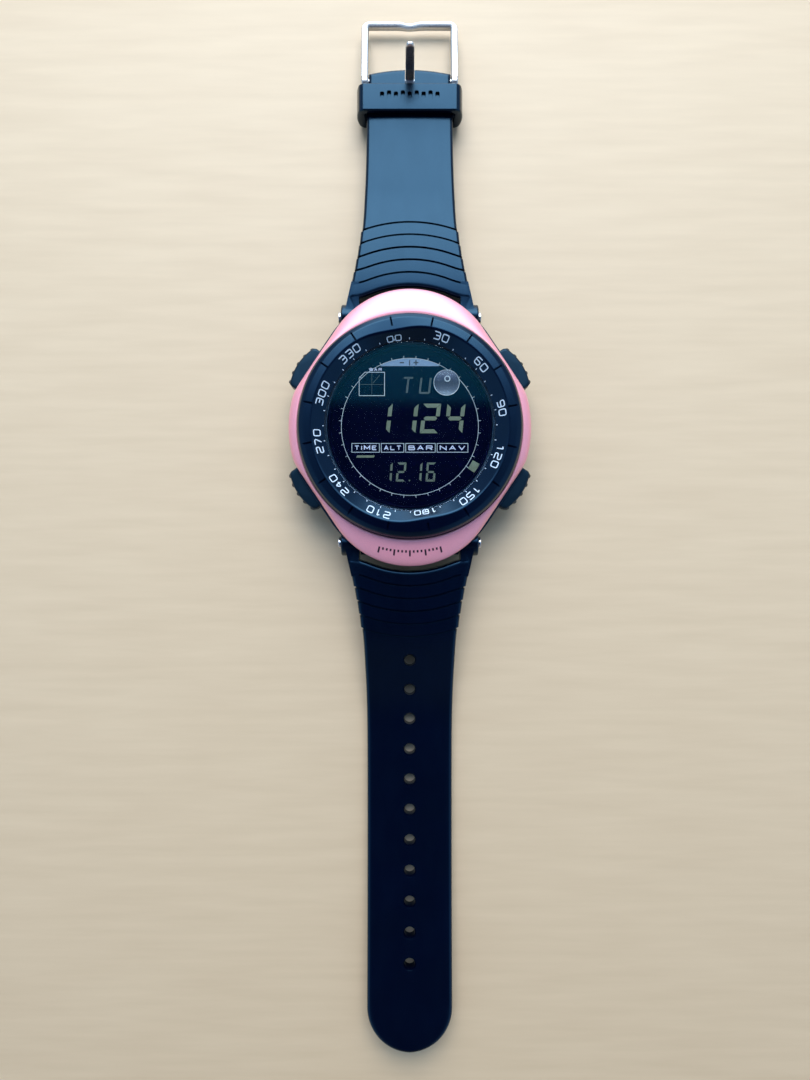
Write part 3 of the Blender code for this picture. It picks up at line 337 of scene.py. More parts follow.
class Nodes:
    """Builds the procedural nodes of a new Principled material, or of the world that it is given."""

    def __init__(self, name, owner=None, shader="Principled BSDF", space="Object"):
        self.material = owner or bpy.data.materials.new(name)
        self.material.use_nodes = True
        self.tree = self.material.node_tree
        self.shader = self.tree.nodes[shader]
        self.place = self.add("ShaderNodeTexCoord").outputs[space]

    def add(self, kind, **inputs):
        node = self.tree.nodes.new(kind)
        for key, value in inputs.items():
            name = key.replace("_", " ")
            if isinstance(value, bpy.types.NodeSocket):
                self.tree.links.new(value, node.inputs[name])
            else:
                node.inputs[name].default_value = value
        return node

    def noise(self, scale, detail=4.0, stretch=None):
        """Noise with features of the given number per metre."""
        vector = self.place
        if stretch:
            vector = self.add("ShaderNodeMapping", Vector=vector, Scale=stretch).outputs["Vector"]
        return self.add("ShaderNodeTexNoise", Vector=vector, Scale=scale, Detail=detail).outputs["Fac"]

    def ramp(self, factor, stops):
        node = self.add("ShaderNodeValToRGB", Fac=factor)
        ramp = node.color_ramp
        while len(ramp.elements) < len(stops):
            ramp.elements.new(0.5)
        for element, (position, colour) in zip(ramp.elements, stops):
            element.position = position
            element.color = colour if len(colour) == 4 else (*colour, 1)
        return node.outputs["Color"]

    def tint(self, factor, colour, low, high, start=0.3, end=0.7):
        """Colours the surface in shades of a colour that follow a factor."""
        shades = [(start, shade(colour, low)), (end, shade(colour, high))]
        self.link(self.ramp(factor, shades), "Base Color")

    def spread(self, factor, low, high):
        """Maps a factor around its middle to a range."""
        return self.add("ShaderNodeMapRange", Value=factor, From_Min=0.3, From_Max=0.7,
                        To_Min=low, To_Max=high).outputs["Result"]

    def along_y(self, low, high):
        """0 at the lower Y and 1 at the higher one."""
        y = self.add("ShaderNodeSeparateXYZ", Vector=self.place).outputs["Y"]
        return self.add("ShaderNodeMapRange", Value=y, From_Min=low, From_Max=high).outputs["Result"]

    def mix(self, factor, first, second, blend="MIX"):
        node = self.add("ShaderNodeMix")
        node.data_type, node.blend_type = "RGBA", blend
        for index, value in ((0, factor), (6, first), (7, second)):
            if isinstance(value, bpy.types.NodeSocket):
                self.tree.links.new(value, node.inputs[index])
            else:
                node.inputs[index].default_value = value
        return node.outputs[2]

    def bump(self, height, strength, distance=0.0001, normal=None):
        node = self.add("ShaderNodeBump", Height=height, Strength=strength, Distance=distance)
        if normal:
            self.tree.links.new(normal, node.inputs["Normal"])
        return node.outputs["Normal"]

    def link(self, socket, name):
        self.tree.links.new(socket, self.shader.inputs[name])

    def set(self, **values):
        for key, value in values.items():
            self.shader.inputs[key.replace("_", " ")].default_value = value


def shade(colour, factor):
    return tuple(min(1.0, c * factor) for c in colour)


def make_surface(name, colour, roughness, vary=0.15, scale=300, grain=6000, bump=0.1, stretch=None, **values):
    """A moulded or metal surface: slow colour drift, roughness that varies, and a fine grain."""
    nodes = Nodes(name)
    slow = nodes.noise(scale)
    fine = nodes.noise(grain, 2.0, stretch)
    nodes.tint(slow, colour, 1 - vary, 1 + vary)
    nodes.link(nodes.spread(fine, roughness * 0.88, roughness * 1.12), "Roughness")
    nodes.link(nodes.bump(fine, bump), "Normal")
    nodes.set(**values)
    return nodes.material


def make_elastomer(name, colour, roughness):
    """Strap rubber: a satin skin with faint flow marks, fine pitting and a little dust."""
    nodes = Nodes(name)
    slow = nodes.noise(90, 3.0)
    pits = nodes.noise(5200, 3.0)
    flow = nodes.noise(400, 2.0, (1.0, 0.4, 1.0))
    dust = nodes.noise(1500, 8.0)
    base = nodes.ramp(slow, [(0.3, shade(colour, 0.85)), (0.7, shade(colour, 1.2))])
    speck = nodes.ramp(dust, [(0.76, (0, 0, 0)), (0.82, (1, 1, 1))])
    nodes.link(nodes.mix(speck, base, (0.03, 0.045, 0.06, 1)), "Base Color")
    nodes.link(nodes.spread(flow, roughness * 0.94, roughness * 1.06), "Roughness")
    nodes.link(nodes.bump(pits, 0.08, 0.00005, nodes.bump(flow, 0.02, 0.0002)), "Normal")
    nodes.set(**NAVY_SHEEN)
    return nodes.material


def make_paint(name, colour):
    """Metallic paint under a clear coat: fine flakes and a faint orange peel."""
    nodes = Nodes(name)
    flakes = nodes.add("ShaderNodeTexVoronoi", Vector=nodes.place, Scale=14000.0).outputs["Color"]
    tone = nodes.add("ShaderNodeSeparateColor", Color=flakes).outputs[0]
    nodes.tint(tone, colour, 0.94, 1.05, 0.0, 1.0)
    nodes.link(nodes.spread(tone, 0.48, 0.54), "Roughness")
    peel = nodes.noise(1400, 2.0)
    nodes.link(nodes.bump(peel, 0.05, 0.0001), "Normal")
    nodes.set(Metallic=0.4, Coat_Weight=1.0, Coat_Roughness=0.3)
    return nodes.material


def make_metal(name, colour, roughness, stretch, bump=0.08):
    """Brushed or satin metal, with the brushing along the long axis of the stretch."""
    nodes = Nodes(name)
    brushed = nodes.noise(2600, 3.0, stretch)
    slow = nodes.noise(120, 2.0)
    nodes.tint(slow, colour, 0.93, 1.05)
    nodes.link(nodes.spread(brushed, roughness * 0.75, roughness * 1.3), "Roughness")
    nodes.link(nodes.bump(brushed, bump, 0.00005), "Normal")
    nodes.set(Metallic=1.0)
    return nodes.material


def make_glass(name, tint, roughness=0.02, bend=1.5):
    """Clear glass or plastic, with a faint smear in its polish."""
    nodes = Nodes(name)
    smear = nodes.noise(220, 3.0)
    nodes.link(nodes.spread(smear, roughness * 0.6, roughness * 1.8), "Roughness")
    nodes.tint(smear, tint, 0.98, 1)
    nodes.set(Transmission_Weight=1.0, IOR=bend)
    return nodes.material


def make_print(name, colour, roughness=0.5):
    """Printed ink with slightly uneven cover."""
    nodes = Nodes(name)
    patchy = nodes.noise(2500, 3.0)
    nodes.tint(patchy, colour, 0.86, 1.04)
    nodes.set(Roughness=roughness)
    return nodes.material


NAVY_SHEEN = {"Specular_Tint": (0.27, 0.64, 1.0, 1), "IOR": 1.5}

MATERIALS = {
    "case_plastic": make_surface("case_plastic", (0.001, 0.003, 0.010), 0.4, grain=9000, bump=0.12,
                                 **NAVY_SHEEN),
    "cover_paint": make_paint("cover_paint", (0.93, 0.35, 0.41)),
    "bezel_plastic": make_surface("bezel_plastic", (0.0003, 0.0008, 0.007), 0.22, grain=12000, bump=0.02,
                                  **NAVY_SHEEN),
    "crystal_glass": make_glass("crystal_glass", (0.93, 0.98, 1.0)),
    "vial_glass": make_glass("vial_glass", (0.9, 0.95, 1.0), 0.04, 1.15),
    "elastomer": make_elastomer("elastomer", (0.0002, 0.0009, 0.006), 0.25),
    "button_rubber": make_elastomer("button_rubber", (0.0006, 0.002, 0.004), 0.42),
    "seal_rubber": make_surface("seal_rubber", (0.012, 0.012, 0.014), 0.6),
    "steel": make_metal("steel", (0.62, 0.62, 0.64), 0.22, (1, 8, 8)),
    "buckle_steel": make_metal("buckle_steel", (0.62, 0.61, 0.60), 0.32, (1, 6, 6)),
    "contact_metal": make_metal("contact_metal", (0.75, 0.55, 0.22), 0.3, (1, 1, 1)),
    "display": make_surface("display", (0.0001, 0.0001, 0.005), 0.4, bump=0.0, Specular_IOR_Level=0.01),
    "dial_print": make_surface("dial_print", (0.0002, 0.0003, 0.006), 0.4, bump=0.0, Specular_IOR_Level=0.02),
    "film": make_surface("film", (0.75, 0.8, 0.76), 0.45),
    "module_plastic": make_surface("module_plastic", (0.7, 0.7, 0.67), 0.5, grain=7000),
    "board": make_surface("board", (0.02, 0.16, 0.06), 0.35, vary=0.4, scale=900, grain=5000),
    "chip": make_surface("chip", (0.02, 0.02, 0.022), 0.5, grain=9000),
}
INK_WHITE = make_print("ink_white", (0.62, 0.70, 0.78))
INK_LINE = make_print("ink_line", (0.36, 0.44, 0.50))
INK_LABEL = make_print("ink_label", (0.44, 0.48, 0.66))
INK_PALE = make_print("ink_pale", (0.12, 0.20, 0.33))
INK_DARK = make_print("ink_dark", (0.004, 0.004, 0.006), 0.4)
INK_BADGE = make_print("ink_badge", (0.03, 0.012, 0.02), 0.35)
LCD_LIT = make_print("lcd_lit", (0.10, 0.13, 0.085), 0.35)
LCD_SOFT = make_print("lcd_soft", (0.075, 0.10, 0.075), 0.35)
LCD_DIM = make_print("lcd_dim", (0.022, 0.038, 0.042), 0.35)

# ---------------------------------------------------------------- case


def case_radius(turn, side, flank, tip, soft=5.0):
    """Distance from the case axis to an outline made of side arcs, flanks and round tips."""
    turn = math.atan2(abs(math.sin(turn)), abs(math.cos(turn)))
    tip_centre = (tip - flank) / (1 - math.sin(FLANK_ANGLE))
    tip_r = tip - tip_centre
    joint = math.atan2(tip_centre + tip_r * math.sin(FLANK_ANGLE), tip_r * math.cos(FLANK_ANGLE))
    if turn >= joint:
        return tip_centre * math.sin(turn) + math.sqrt(tip_r**2 - (tip_centre * math.cos(turn)) ** 2)
    if side - flank < 0.01:
        return flank
    straight = flank / math.cos(turn - FLANK_ANGLE)
    if turn >= FLANK_ANGLE:
        return straight
    return -math.log(math.exp(soft * (flank - side)) + math.exp(soft * (flank - straight))) / soft + flank


def case_loop(side, flank, tip, z):
    return [(*polar(case_radius(t, side, flank, tip), t), z) for t in circle(STEPS)]


def round_loop(radius, z):
    return [(*polar(radius, t), z) for t in circle(STEPS)]


def make_case_body():
    # side, flank, tip and height of the outside, from the bottom up
    keys = [
        (20.8, 20.8, 20.8, BODY_BOTTOM), (21.6, 21.6, 21.6, 2.8), (23.5, 23.2, 24.2, 5.0),
        (BODY_SIDE, BODY_FLANK, 27.9, 7.4), (BODY_SIDE, BODY_FLANK, BODY_TIP, BODY_TOP - 0.2),
    ]
    loops = [case_loop(*row) for row in blend_rows(keys, 5)]
    loops += [
        case_loop(BODY_SIDE - 0.06, BODY_FLANK - 0.06, BODY_TIP - 0.06, BODY_TOP - 0.06),
        case_loop(BODY_SIDE - 0.2, BODY_FLANK - 0.2, BODY_TIP - 0.2, BODY_TOP),
    ]
    inside = [
        (TURRET_R, BODY_TOP), (TURRET_R, CLICK_LOW), (TURRET_R - 0.35, CLICK_LOW),
        (TURRET_R - 0.35, CLICK_HIGH), (TURRET_R, CLICK_HIGH), (TURRET_R, TURRET_TOP - 0.1),
        (TURRET_R - 0.1, TURRET_TOP), (TURRET_BORE, TURRET_TOP), (TURRET_BORE, LEDGE),
        (UPPER_CAVITY_R, LEDGE), (UPPER_CAVITY_R, CAVITY_STEP), (CAVITY_R, CAVITY_STEP),
        (CAVITY_R, BODY_BOTTOM),
    ]
    loops += [round_loop(r, z) for r, z in inside]
    body = lofted(loops, ring_shaped=True)
    bmesh.ops.triangulate(body, faces=body.faces)
    for side in (1, -1):
        lug = along_x(rod(LUG_R, -LUG_BLANK, LUG_BLANK, 48), (0, side * PIN_Y, PIN_Z))
        body = combine(body, lug, "UNION")
    cutters = []
    for side in (1, -1):
        for ends in ((LUG_HALF, EAR_POCKET_END), (-EAR_POCKET_END, -LUG_HALF)):
            cutters.append(along_x(rod(EAR_POCKET_R, *ends, 48), (0, side * PIN_Y, PIN_Z)))
        cutters.append(along_x(rod(PIN_HOLE_R, -LUG_BLANK - 1, LUG_BLANK + 1, 24), (0, side * PIN_Y, PIN_Z)))
    for i in range(SCREW_COUNT):
        cutters.append(moved(rod(SCREW_HOLE_R, *SCREW_HOLE, 20), screw_place(i)))
    for degrees, side in BUTTONS.values():
        hollow = rounded(BUTTON_HALF_LENGTH + POCKET_GAP, BUTTON_HALF_HEIGHT + POCKET_GAP, 0.5, 4)
        pocket = along_x(moved(prism(hollow, POCKET_FLOOR, OUTSIDE), turn=math.pi / 2))
        cutters.append(in_button_frame(pocket, degrees, side))
        cutters.append(in_button_frame(along_x(rod(STEM_HOLE_R, INSIDE, 24, 20)), degrees, side))
    vent = [(0, -OUTSIDE), (VENT_R, -OUTSIDE), (VENT_R, -VENT_FLOOR), (VENT_BORE_R, -VENT_FLOOR),
            (VENT_BORE_R, -INSIDE), (0, -INSIDE)]
    cutters.append(along_x(turned(vent, 24, closed=False), (0, 0, BUTTON_Z)))
    for cutter in cutters:
        body = combine(body, cutter)
    add_piece("case_body", body, "case", "case_plastic", ["mid_case"], 28)


def rounded(half_x, half_y, radius, steps=6):
    """Points round a rectangle with round corners, centred on the origin."""
    points = []
    for quarter, (sx, sy) in enumerate(((1, 1), (-1, 1), (-1, -1), (1, -1))):
        for i in range(steps + 1):
            turn = math.pi / 2 * (quarter + i / steps)
            u, v = polar(radius, turn)
            points.append((sx * (half_x - radius) + u, sy * (half_y - radius) + v))
    return points


def screw_place(index):
    turn = math.pi / 4 + index * math.pi / 2
    return (*polar(SCREW_CIRCLE, turn), 0)


def cover_height(share):
    """Height of the painted cover's top at a share of the way from its inner edge to its outer one."""
    share = min(1.0, max(0.0, share))
    return COVER_EDGE + (COVER_CREST - 0.04 - COVER_EDGE) * (1 - share**1.6) ** (1 / 1.75)


def make_cover():
    shares = [math.sin(math.pi / 2 * i / 18) for i in range(19)]
    loops = [[] for _ in range(len(shares) + 6)]
    for i in range(STEPS * 2):
        turn = math.pi * i / STEPS
        outer = case_radius(turn, COVER_SIDE, COVER_FLANK, COVER_TIP)
        start = COVER_INNER + 0.12
        section = [(COVER_INNER, COVER_BASE), (outer - 0.2, COVER_BASE), (outer - 0.05, COVER_BASE + 0.06),
                   (outer, COVER_BASE + 0.2)]
        section += [(start + (outer - start) * s, cover_height(s)) for s in reversed(shares)]
        section += [(COVER_INNER + 0.03, COVER_CREST - 0.1), (COVER_INNER, COVER_CREST - 0.2)]
        for loop, (r, z) in zip(loops, section):
            loop.append((*polar(r, turn), z))
    cover = lofted(loops, ring_shaped=True)
    add_piece("painted_cover", cover, "case", "cover_paint", ["top_cover"], 50)


BADGE_R, BADGE_PITCH = 25.3, 0.031


def make_badge():
    """A plain graduated row of bars, in place of printed words on the cover's lower tip."""
    plates = Plates(lambda x, y: cover_height(cover_share(x, y)), 0.03, 0.05)
    for i in range(-8, 9):
        tall = 0.5 if i % 4 else 1.25
        lean = i * BADGE_PITCH
        ends = [(r * math.sin(lean), -r * math.cos(lean)) for r in (BADGE_R, BADGE_R + tall)]
        plates.line(ends, 0.36, step=0.2)
    add_piece("cover_mark", plates.bm, "case", "cover_paint", material=INK_BADGE)


def cover_share(x, y):
    outer = case_radius(math.atan2(y, x), COVER_SIDE, COVER_FLANK, COVER_TIP)
    start = COVER_INNER + 0.12
    return (math.hypot(x, y) - start) / (outer - start)


# ---------------------------------------------------------------- print


class Plates:
    """Collects thin closed plates that lie on a surface given by its height at (x, y)."""

    def __init__(self, height, lift=0.015, sink=0.02):
        self.bm = bmesh.new()
        self.height, self.lift, self.sink = height, lift, sink

    def add(self, outline):
        """A plate from the points round it."""
        top = [self.bm.verts.new((x, y, self.height(x, y) + self.lift)) for x, y in outline]
        bottom = [self.bm.verts.new((x, y, self.height(x, y) - self.sink)) for x, y in outline]
        self.bm.faces.new(top)
        self.bm.faces.new(reversed(bottom))
        count = len(outline)
        for i in range(count):
            j = (i + 1) % count
            self.bm.faces.new((top[j], top[i], bottom[i], bottom[j]))

    def strip(self, left, right):
        """A plate between two rows of points, in quads, so that it can follow a curved surface."""
        rows = []
        for lift in (self.lift, -self.sink):
            for side in (left, right):
                rows.append([self.bm.verts.new((x, y, self.height(x, y) + lift)) for x, y in side])
        top_l, top_r, low_l, low_r = rows
        for i in range(len(left) - 1):
            j = i + 1
            self.bm.faces.new((top_l[i], top_l[j], top_r[j], top_r[i]))
            self.bm.faces.new((low_l[i], low_r[i], low_r[j], low_l[j]))
            self.bm.faces.new((top_l[j], top_l[i], low_l[i], low_l[j]))
            self.bm.faces.new((top_r[i], top_r[j], low_r[j], low_r[i]))
        self.bm.faces.new((top_l[0], top_r[0], low_r[0], low_l[0]))
        self.bm.faces.new((top_r[-1], top_l[-1], low_l[-1], low_r[-1]))

    def line(self, points, width, place=lambda x, y: (x, y), step=9.0):
        """A stroke of the given width along a polyline, with mitred corners. place maps it to the surface."""
        corners = [Vector(p) for p in points]
        points = [corners[0]]
        for start, end in zip(corners, corners[1:]):
            parts = math.ceil((end - start).length / step)
            points += [start.lerp(end, (i + 1) / parts) for i in range(parts)]
        left, right = [], []
        for i, point in enumerate(points):
            before = (point - points[i - 1]).normalized() if i else None
            after = (points[i + 1] - point).normalized() if i < len(points) - 1 else None
            along = ((before or after) + (after or before)).normalized()
            across = Vector((-along.y, along.x))
            cosine = across.dot(Vector((-(after or before).y, (after or before).x)))
            reach = width / 2 / max(0.4, cosine)
            left.append(place(*(point + across * reach)))
            right.append(place(*(point - across * reach)))
        self.strip(left, right)

    def ring(self, inner, outer, steps, centre=(0, 0)):
        loops = []
        low, high = -self.sink, self.lift
        for radius, lift in ((inner, low), (outer, low), (outer, high), (inner, high)):
            spots = [Vector(centre) + Vector(polar(radius, turn)) for turn in circle(steps)]
            loops.append([self.bm.verts.new((x, y, self.height(x, y) + lift)) for x, y in spots])
        for a, b in zip(loops, loops[1:] + loops[:1]):
            for i in range(steps):
                j = (i + 1) % steps
                self.bm.faces.new((a[i], a[j], b[j], b[i]))

    def dot(self, x, y, radius, steps=12):
        self.add([(x + u, y + v) for u, v in (polar(radius, turn) for turn in circle(steps))])


# Strokes of the plain square numerals and letters, in a box one unit wide and one high
GLYPHS = {
    "0": [[(0.5, 1), (0, 1), (0, 0), (1, 0), (1, 1), (0.5, 1)]],
    "1": [[(0.25, 0.8), (0.62, 1), (0.62, 0)]],
    "2": [[(0, 1), (1, 1), (1, 0.52), (0, 0.46), (0, 0), (1, 0)]],
    "3": [[(0, 1), (1, 1), (1, 0), (0, 0)], [(0.3, 0.52), (1, 0.52)]],
    "4": [[(0.74, 0), (0.74, 1), (0, 0.3), (1, 0.3)]],
    "5": [[(1, 1), (0, 1), (0, 0.56), (1, 0.56), (1, 0), (0, 0)]],
    "6": [[(0.95, 1), (0, 1), (0, 0), (1, 0), (1, 0.55), (0, 0.55)]],
    "7": [[(0, 1), (1, 1), (0.35, 0)]],
    "8": [[(0.5, 1), (0, 1), (0, 0), (1, 0), (1, 1), (0.5, 1)], [(0, 0.52), (1, 0.52)]],
    "9": [[(1, 0.45), (0, 0.45), (0, 1), (1, 1), (1, 0), (0.05, 0)]],
    "T": [[(0, 1), (1, 1)], [(0.5, 1), (0.5, 0)]],
    "I": [[(0.5, 1), (0.5, 0)]],
    "M": [[(0, 0), (0, 1), (0.5, 0.3), (1, 1), (1, 0)]],
    "E": [[(1, 1), (0, 1), (0, 0), (1, 0)], [(0, 0.5), (0.8, 0.5)]],
    "A": [[(0, 0), (0.5, 1), (1, 0)], [(0.2, 0.35), (0.8, 0.35)]],
    "L": [[(0, 1), (0, 0), (1, 0)]],
    "B": [[(0, 0), (0, 1), (0.9, 1), (0.9, 0.52), (1, 0.52), (1, 0), (0, 0)], [(0, 0.52), (0.9, 0.52)]],
    "R": [[(0, 0), (0, 1), (1, 1), (1, 0.48), (0, 0.48)], [(0.5, 0.48), (1, 0)]],
    "N": [[(0, 0), (0, 1), (1, 0), (1, 1)]],
    "V": [[(0, 1), (0.5, 0), (1, 1)]],
    "U": [[(0, 1), (0, 0), (1, 0), (1, 1)]],
}
SHARP = set("TIMAVN")


def write(plates, text, width, height, pitch, stroke, place, radius=0.3, step=9.0):
    """Draws characters centred on the origin of the place function's (x, y)."""
    start = -(len(text) * pitch - (pitch - width)) / 2
    for i, mark in enumerate(text):
        x0 = start + i * pitch
        for path in GLYPHS[mark]:
            points = [(x0 + u * width, (v - 0.5) * height) for u, v in path]
            if mark not in SHARP:
                points = filleted([(*p, radius) for p in points], 3, closed=False)
            plates.line(points, stroke, place, step)


# ---------------------------------------------------------------- bezel
BEZEL_TURN = math.radians(10.3)
BEZEL_SIDE = BEZEL_R - 0.1
LIP_BASE, LIP_TOP = 12.5, 12.72
NUMERAL_R = 18.78


def bezel_bulge(turn):
    """1 at the two poles of the compass scale, where the raised ring widens inwards, and 0 away from them."""
    apart = abs(math.remainder(turn - math.pi / 2 - BEZEL_TURN, math.pi))
    return math.exp(-((apart / math.radians(15)) ** 2))


def bezel_profile(bulge):
    """The bezel's section as (r, z) points, from its base outwards, over the crest and back down its bore."""
    crest = 19.85 - 0.9 * bulge
    return filleted([
        (BEZEL_BORE, BEZEL_BASE), (BEZEL_SIDE, BEZEL_BASE, 0.3), (BEZEL_SIDE, 12.9, 0.8),
        (BEZEL_SIDE - 0.45, 13.85, 0.8), (BEZEL_SIDE - 1.3, 14.26, 1.0), (crest, BEZEL_CREST, 1.0),
        (BEZEL_LIP - 0.2, LIP_TOP, 0.08), (BEZEL_LIP - 0.2, LIP_BASE), (BEZEL_BORE, LIP_BASE),
        (BEZEL_BORE, CLICK_HIGH), (BEZEL_BORE + 0.4, CLICK_HIGH), (BEZEL_BORE + 0.4, CLICK_LOW),
        (BEZEL_BORE, CLICK_LOW),
    ], 6)


def bezel_height(x, y):
    """Top of the bezel at (x, y), between its lip and its outer edge."""
    radius = math.hypot(x, y)
    profile = bezel_profile(bezel_bulge(math.atan2(y, x)))
    for (r0, z0), (r1, z1) in zip(profile, profile[1:]):
        if r0 > r1 and r1 <= radius <= r0 and min(z0, z1) > LIP_BASE - 0.05:
            return z0 + (z1 - z0) * (r0 - radius) / (r0 - r1)
    return LIP_TOP


def make_bezel():
    loops = [[(*polar(r, turn), z) for r, z in bezel_profile(bezel_bulge(turn))] for turn in circle(288)]
    bezel = lofted(loops, ring_shaped=True)
    slots = []
    for i in range(16):
        turn = math.pi / 2 + BEZEL_TURN - math.tau * i / 16
        slot = along_x(rod(0.2, 20.05, 22.1, 12, 0.15))
        bmesh.ops.scale(slot, vec=(1, 1, 2.2), verts=slot.verts)
        bmesh.ops.translate(slot, verts=slot.verts, vec=(0, 0, BEZEL_CREST - 0.1))
        slots.append(moved(slot, turn=turn))
    bezel = combine(bezel, merged(*slots))
    add_piece("bezel_ring", bezel, "bezel", "bezel_plastic", ["compass_bezel"], 32)


def make_bezel_print():
    plates = Plates(bezel_height, 0.02, 0.04)
    for i in range(12):
        turn = math.pi / 2 + BEZEL_TURN - math.tau * i / 12

        def place(x, y, turn=turn):
            lean = turn - x / 18.83
            bulge = bezel_bulge(turn)
            radius = NUMERAL_R - 1.0 * bulge + y * (1 - 0.3 * bulge)
            return polar(radius, lean)

        text = f"{i * 30}" if i else "00"
        write(plates, text, 1.22, 1.24, 1.76, 0.2, place, 0.36, 0.35)
    for i in range(36):
        turn = math.pi / 2 + BEZEL_TURN - math.tau * i / 36
        plates.line([polar(r, turn) for r in (17.42, 17.72)], 0.13)
    add_piece("bezel_numerals", plates.bm, "bezel", "bezel_plastic", material=INK_WHITE)


# ---------------------------------------------------------------- crystal and display


def make_crystal():
    profile = [(0, CRYSTAL_BASE), (CRYSTAL_R, CRYSTAL_BASE, 0.05), (CRYSTAL_R, CRYSTAL_TOP - 0.22, 0.04),
               (CRYSTAL_R - 0.24, CRYSTAL_TOP, 0.05), (0, CRYSTAL_TOP)]
    disc = add_piece("crystal_disc", lathed(profile), "case", "crystal_glass", ["crystal"], 40)
    disc.visible_shadow = False
    seat = filleted([(CRYSTAL_R + 0.1, CRYSTAL_BASE), (TURRET_BORE - 0.1, CRYSTAL_BASE),
                     (TURRET_BORE - 0.1, SEAT_TOP, 0.12), (CRYSTAL_R + 0.1, SEAT_TOP, 0.12)])
    add_piece("crystal_seat", turned(seat), "case", "seal_rubber", ["crystal_gasket"])
    rim = filleted([(DIAL_APERTURE, DIAL_BASE), (DIAL_R, DIAL_BASE), (DIAL_R, DIAL_TOP, 0.1),
                    (16.45, DIAL_TOP, 0.2), (DIAL_APERTURE, 10.55, 0.05)])
    add_piece("dial_rim", turned(rim), "case", "dial_print", ["dial_ring"])
    panel = lathed([(0, LCD_BASE), (LCD_R, LCD_BASE, 0.1), (LCD_R, LCD_TOP, 0.1), (0, LCD_TOP)])
    add_piece("display_panel", panel, "case", "display", ["lcd_panel"])


def flat(z):
    return lambda x, y: z


def make_display_print():
    lines = Plates(flat(LCD_TOP), 0.02, 0.01)
    lines.ring(14.005, 14.095, 180)
    for i in range(36):
        turn = math.tau * (i + 0.5) / 36
        lines.line([polar(r, turn) for r in (14.1, 14.6)], 0.09)
    # graph window with a clipped corner
    lines.line([(-10.4, 10.0), (-10.4, 6.4), (-5.2, 6.4), (-5.2, 11.2), (-9.2, 11.2), (-10.4, 10.0),
                (-10.4, 9.5)], 0.13)
    # mode frames
    for x0, x1 in MODE_FRAMES:
        lines.line([(x0, -4.4), (x0, -5.2), (x1, -5.2), (x1, -3.4), (x0, -3.4), (x0, -4.45)], 0.11)
    add_piece("display_lines", lines.bm, "case", "display", material=INK_LINE)

    labels = Plates(flat(LCD_TOP), 0.025, 0.01)
    for (x0, x1), text in zip(MODE_FRAMES, ("TIME", "ALT", "BAR", "NAV")):
        label(labels, text, (x0 + x1) / 2, -4.3, x1 - x0 - 1.1, 0.95, 0.19)
    label(labels, "BAR", -7.0, 11.75, 2.5, 0.6, 0.13)
    add_piece("display_labels", labels.bm, "case", "display", material=INK_LABEL)

    faint = Plates(flat(LCD_TOP), 0.015, 0.01)
    faint.line([(-10.2, 8.7), (-5.4, 8.7)], 0.1)
    faint.line([(-7.8, 6.6), (-7.8, 11.0)], 0.1)
    faint.line([(-7.6, 8.9), (-6.2, 10.6)], 0.12)
    write(faint, "TU", 1.9, 3.1, 3.6, 0.42, lambda x, y: (1.35 + x + 0.12 * y, 8.5 + y), 0.25)
    add_piece("display_dim_segments", faint.bm, "case", "display", material=LCD_DIM)


def label(plates, text, x, y, width, height, stroke):
    """Letters spread over a width, each as wide as its shape needs."""
    shares = [{"I": 0.25, "M": 1.3}.get(mark, 1.0) for mark in text]
    unit = width / (sum(shares) + 0.35 * (len(text) - 1))
    left = x - width / 2
    for mark, share in zip(text, shares):
        middle = left + unit * share / 2
        write(plates, mark, unit * share - stroke, height - stroke, unit, stroke,
              lambda u, v, m=middle: (m + u, y + v), 0.12)
        left += unit * (share + 0.35)


MODE_FRAMES = ((-11.9, -6.25), (-5.87, -1.24), (-0.86, 5.2), (5.58, 11.9))

# The lit segments of the digits shown: a to f clockwise from the top bar, and g for the middle one
SEGMENTS = {"1": "bc", "2": "abged", "4": "fgbc", "6": "afgedc"}


def segment_shapes(width, height, thick, gap=0.09):
    """The outline of each segment in a digit box with its lower left corner at the origin."""
    half, t = height / 2, thick
    g = gap / 2

    def bar(y0, y1, inset_low, inset_high):
        return [(g + inset_low, y0), (width - g - inset_low, y0), (width - g - inset_high, y1),
                (g + inset_high, y1)]

    def post(x_out, x_in, y0, y1, low_cut, high_cut):
        return [(x_out, y0 + g + (0 if low_cut else t * 0.5)), (x_in, y0 + g + (t if low_cut else t * 0.5)),
                (x_in, y1 - g - (t if high_cut else t * 0.5)), (x_out, y1 - g - (0 if high_cut else t * 0.5))]

    return {
        "a": bar(height - t, height, t, 0),
        "d": bar(0, t, 0, t),
        "g": [(g + t * 0.5, half), (g + t, half - t / 2), (width - g - t, half - t / 2),
              (width - g - t * 0.5, half), (width - g - t, half + t / 2), (g + t, half + t / 2)],
        "b": post(width, width - t, half, height, False, True),
        "c": post(width, width - t, 0, half, True, False),
        "e": post(0, t, 0, half, True, False),
        "f": post(0, t, half, height, False, True),
    }


def add_digit(plates, digit, x, y, width, height, thick, slant=0.12):
    shapes = segment_shapes(width, height, thick)
    for key in SEGMENTS[digit]:
        plates.add([(x + u + slant * v, y + v) for u, v in shapes[key]])


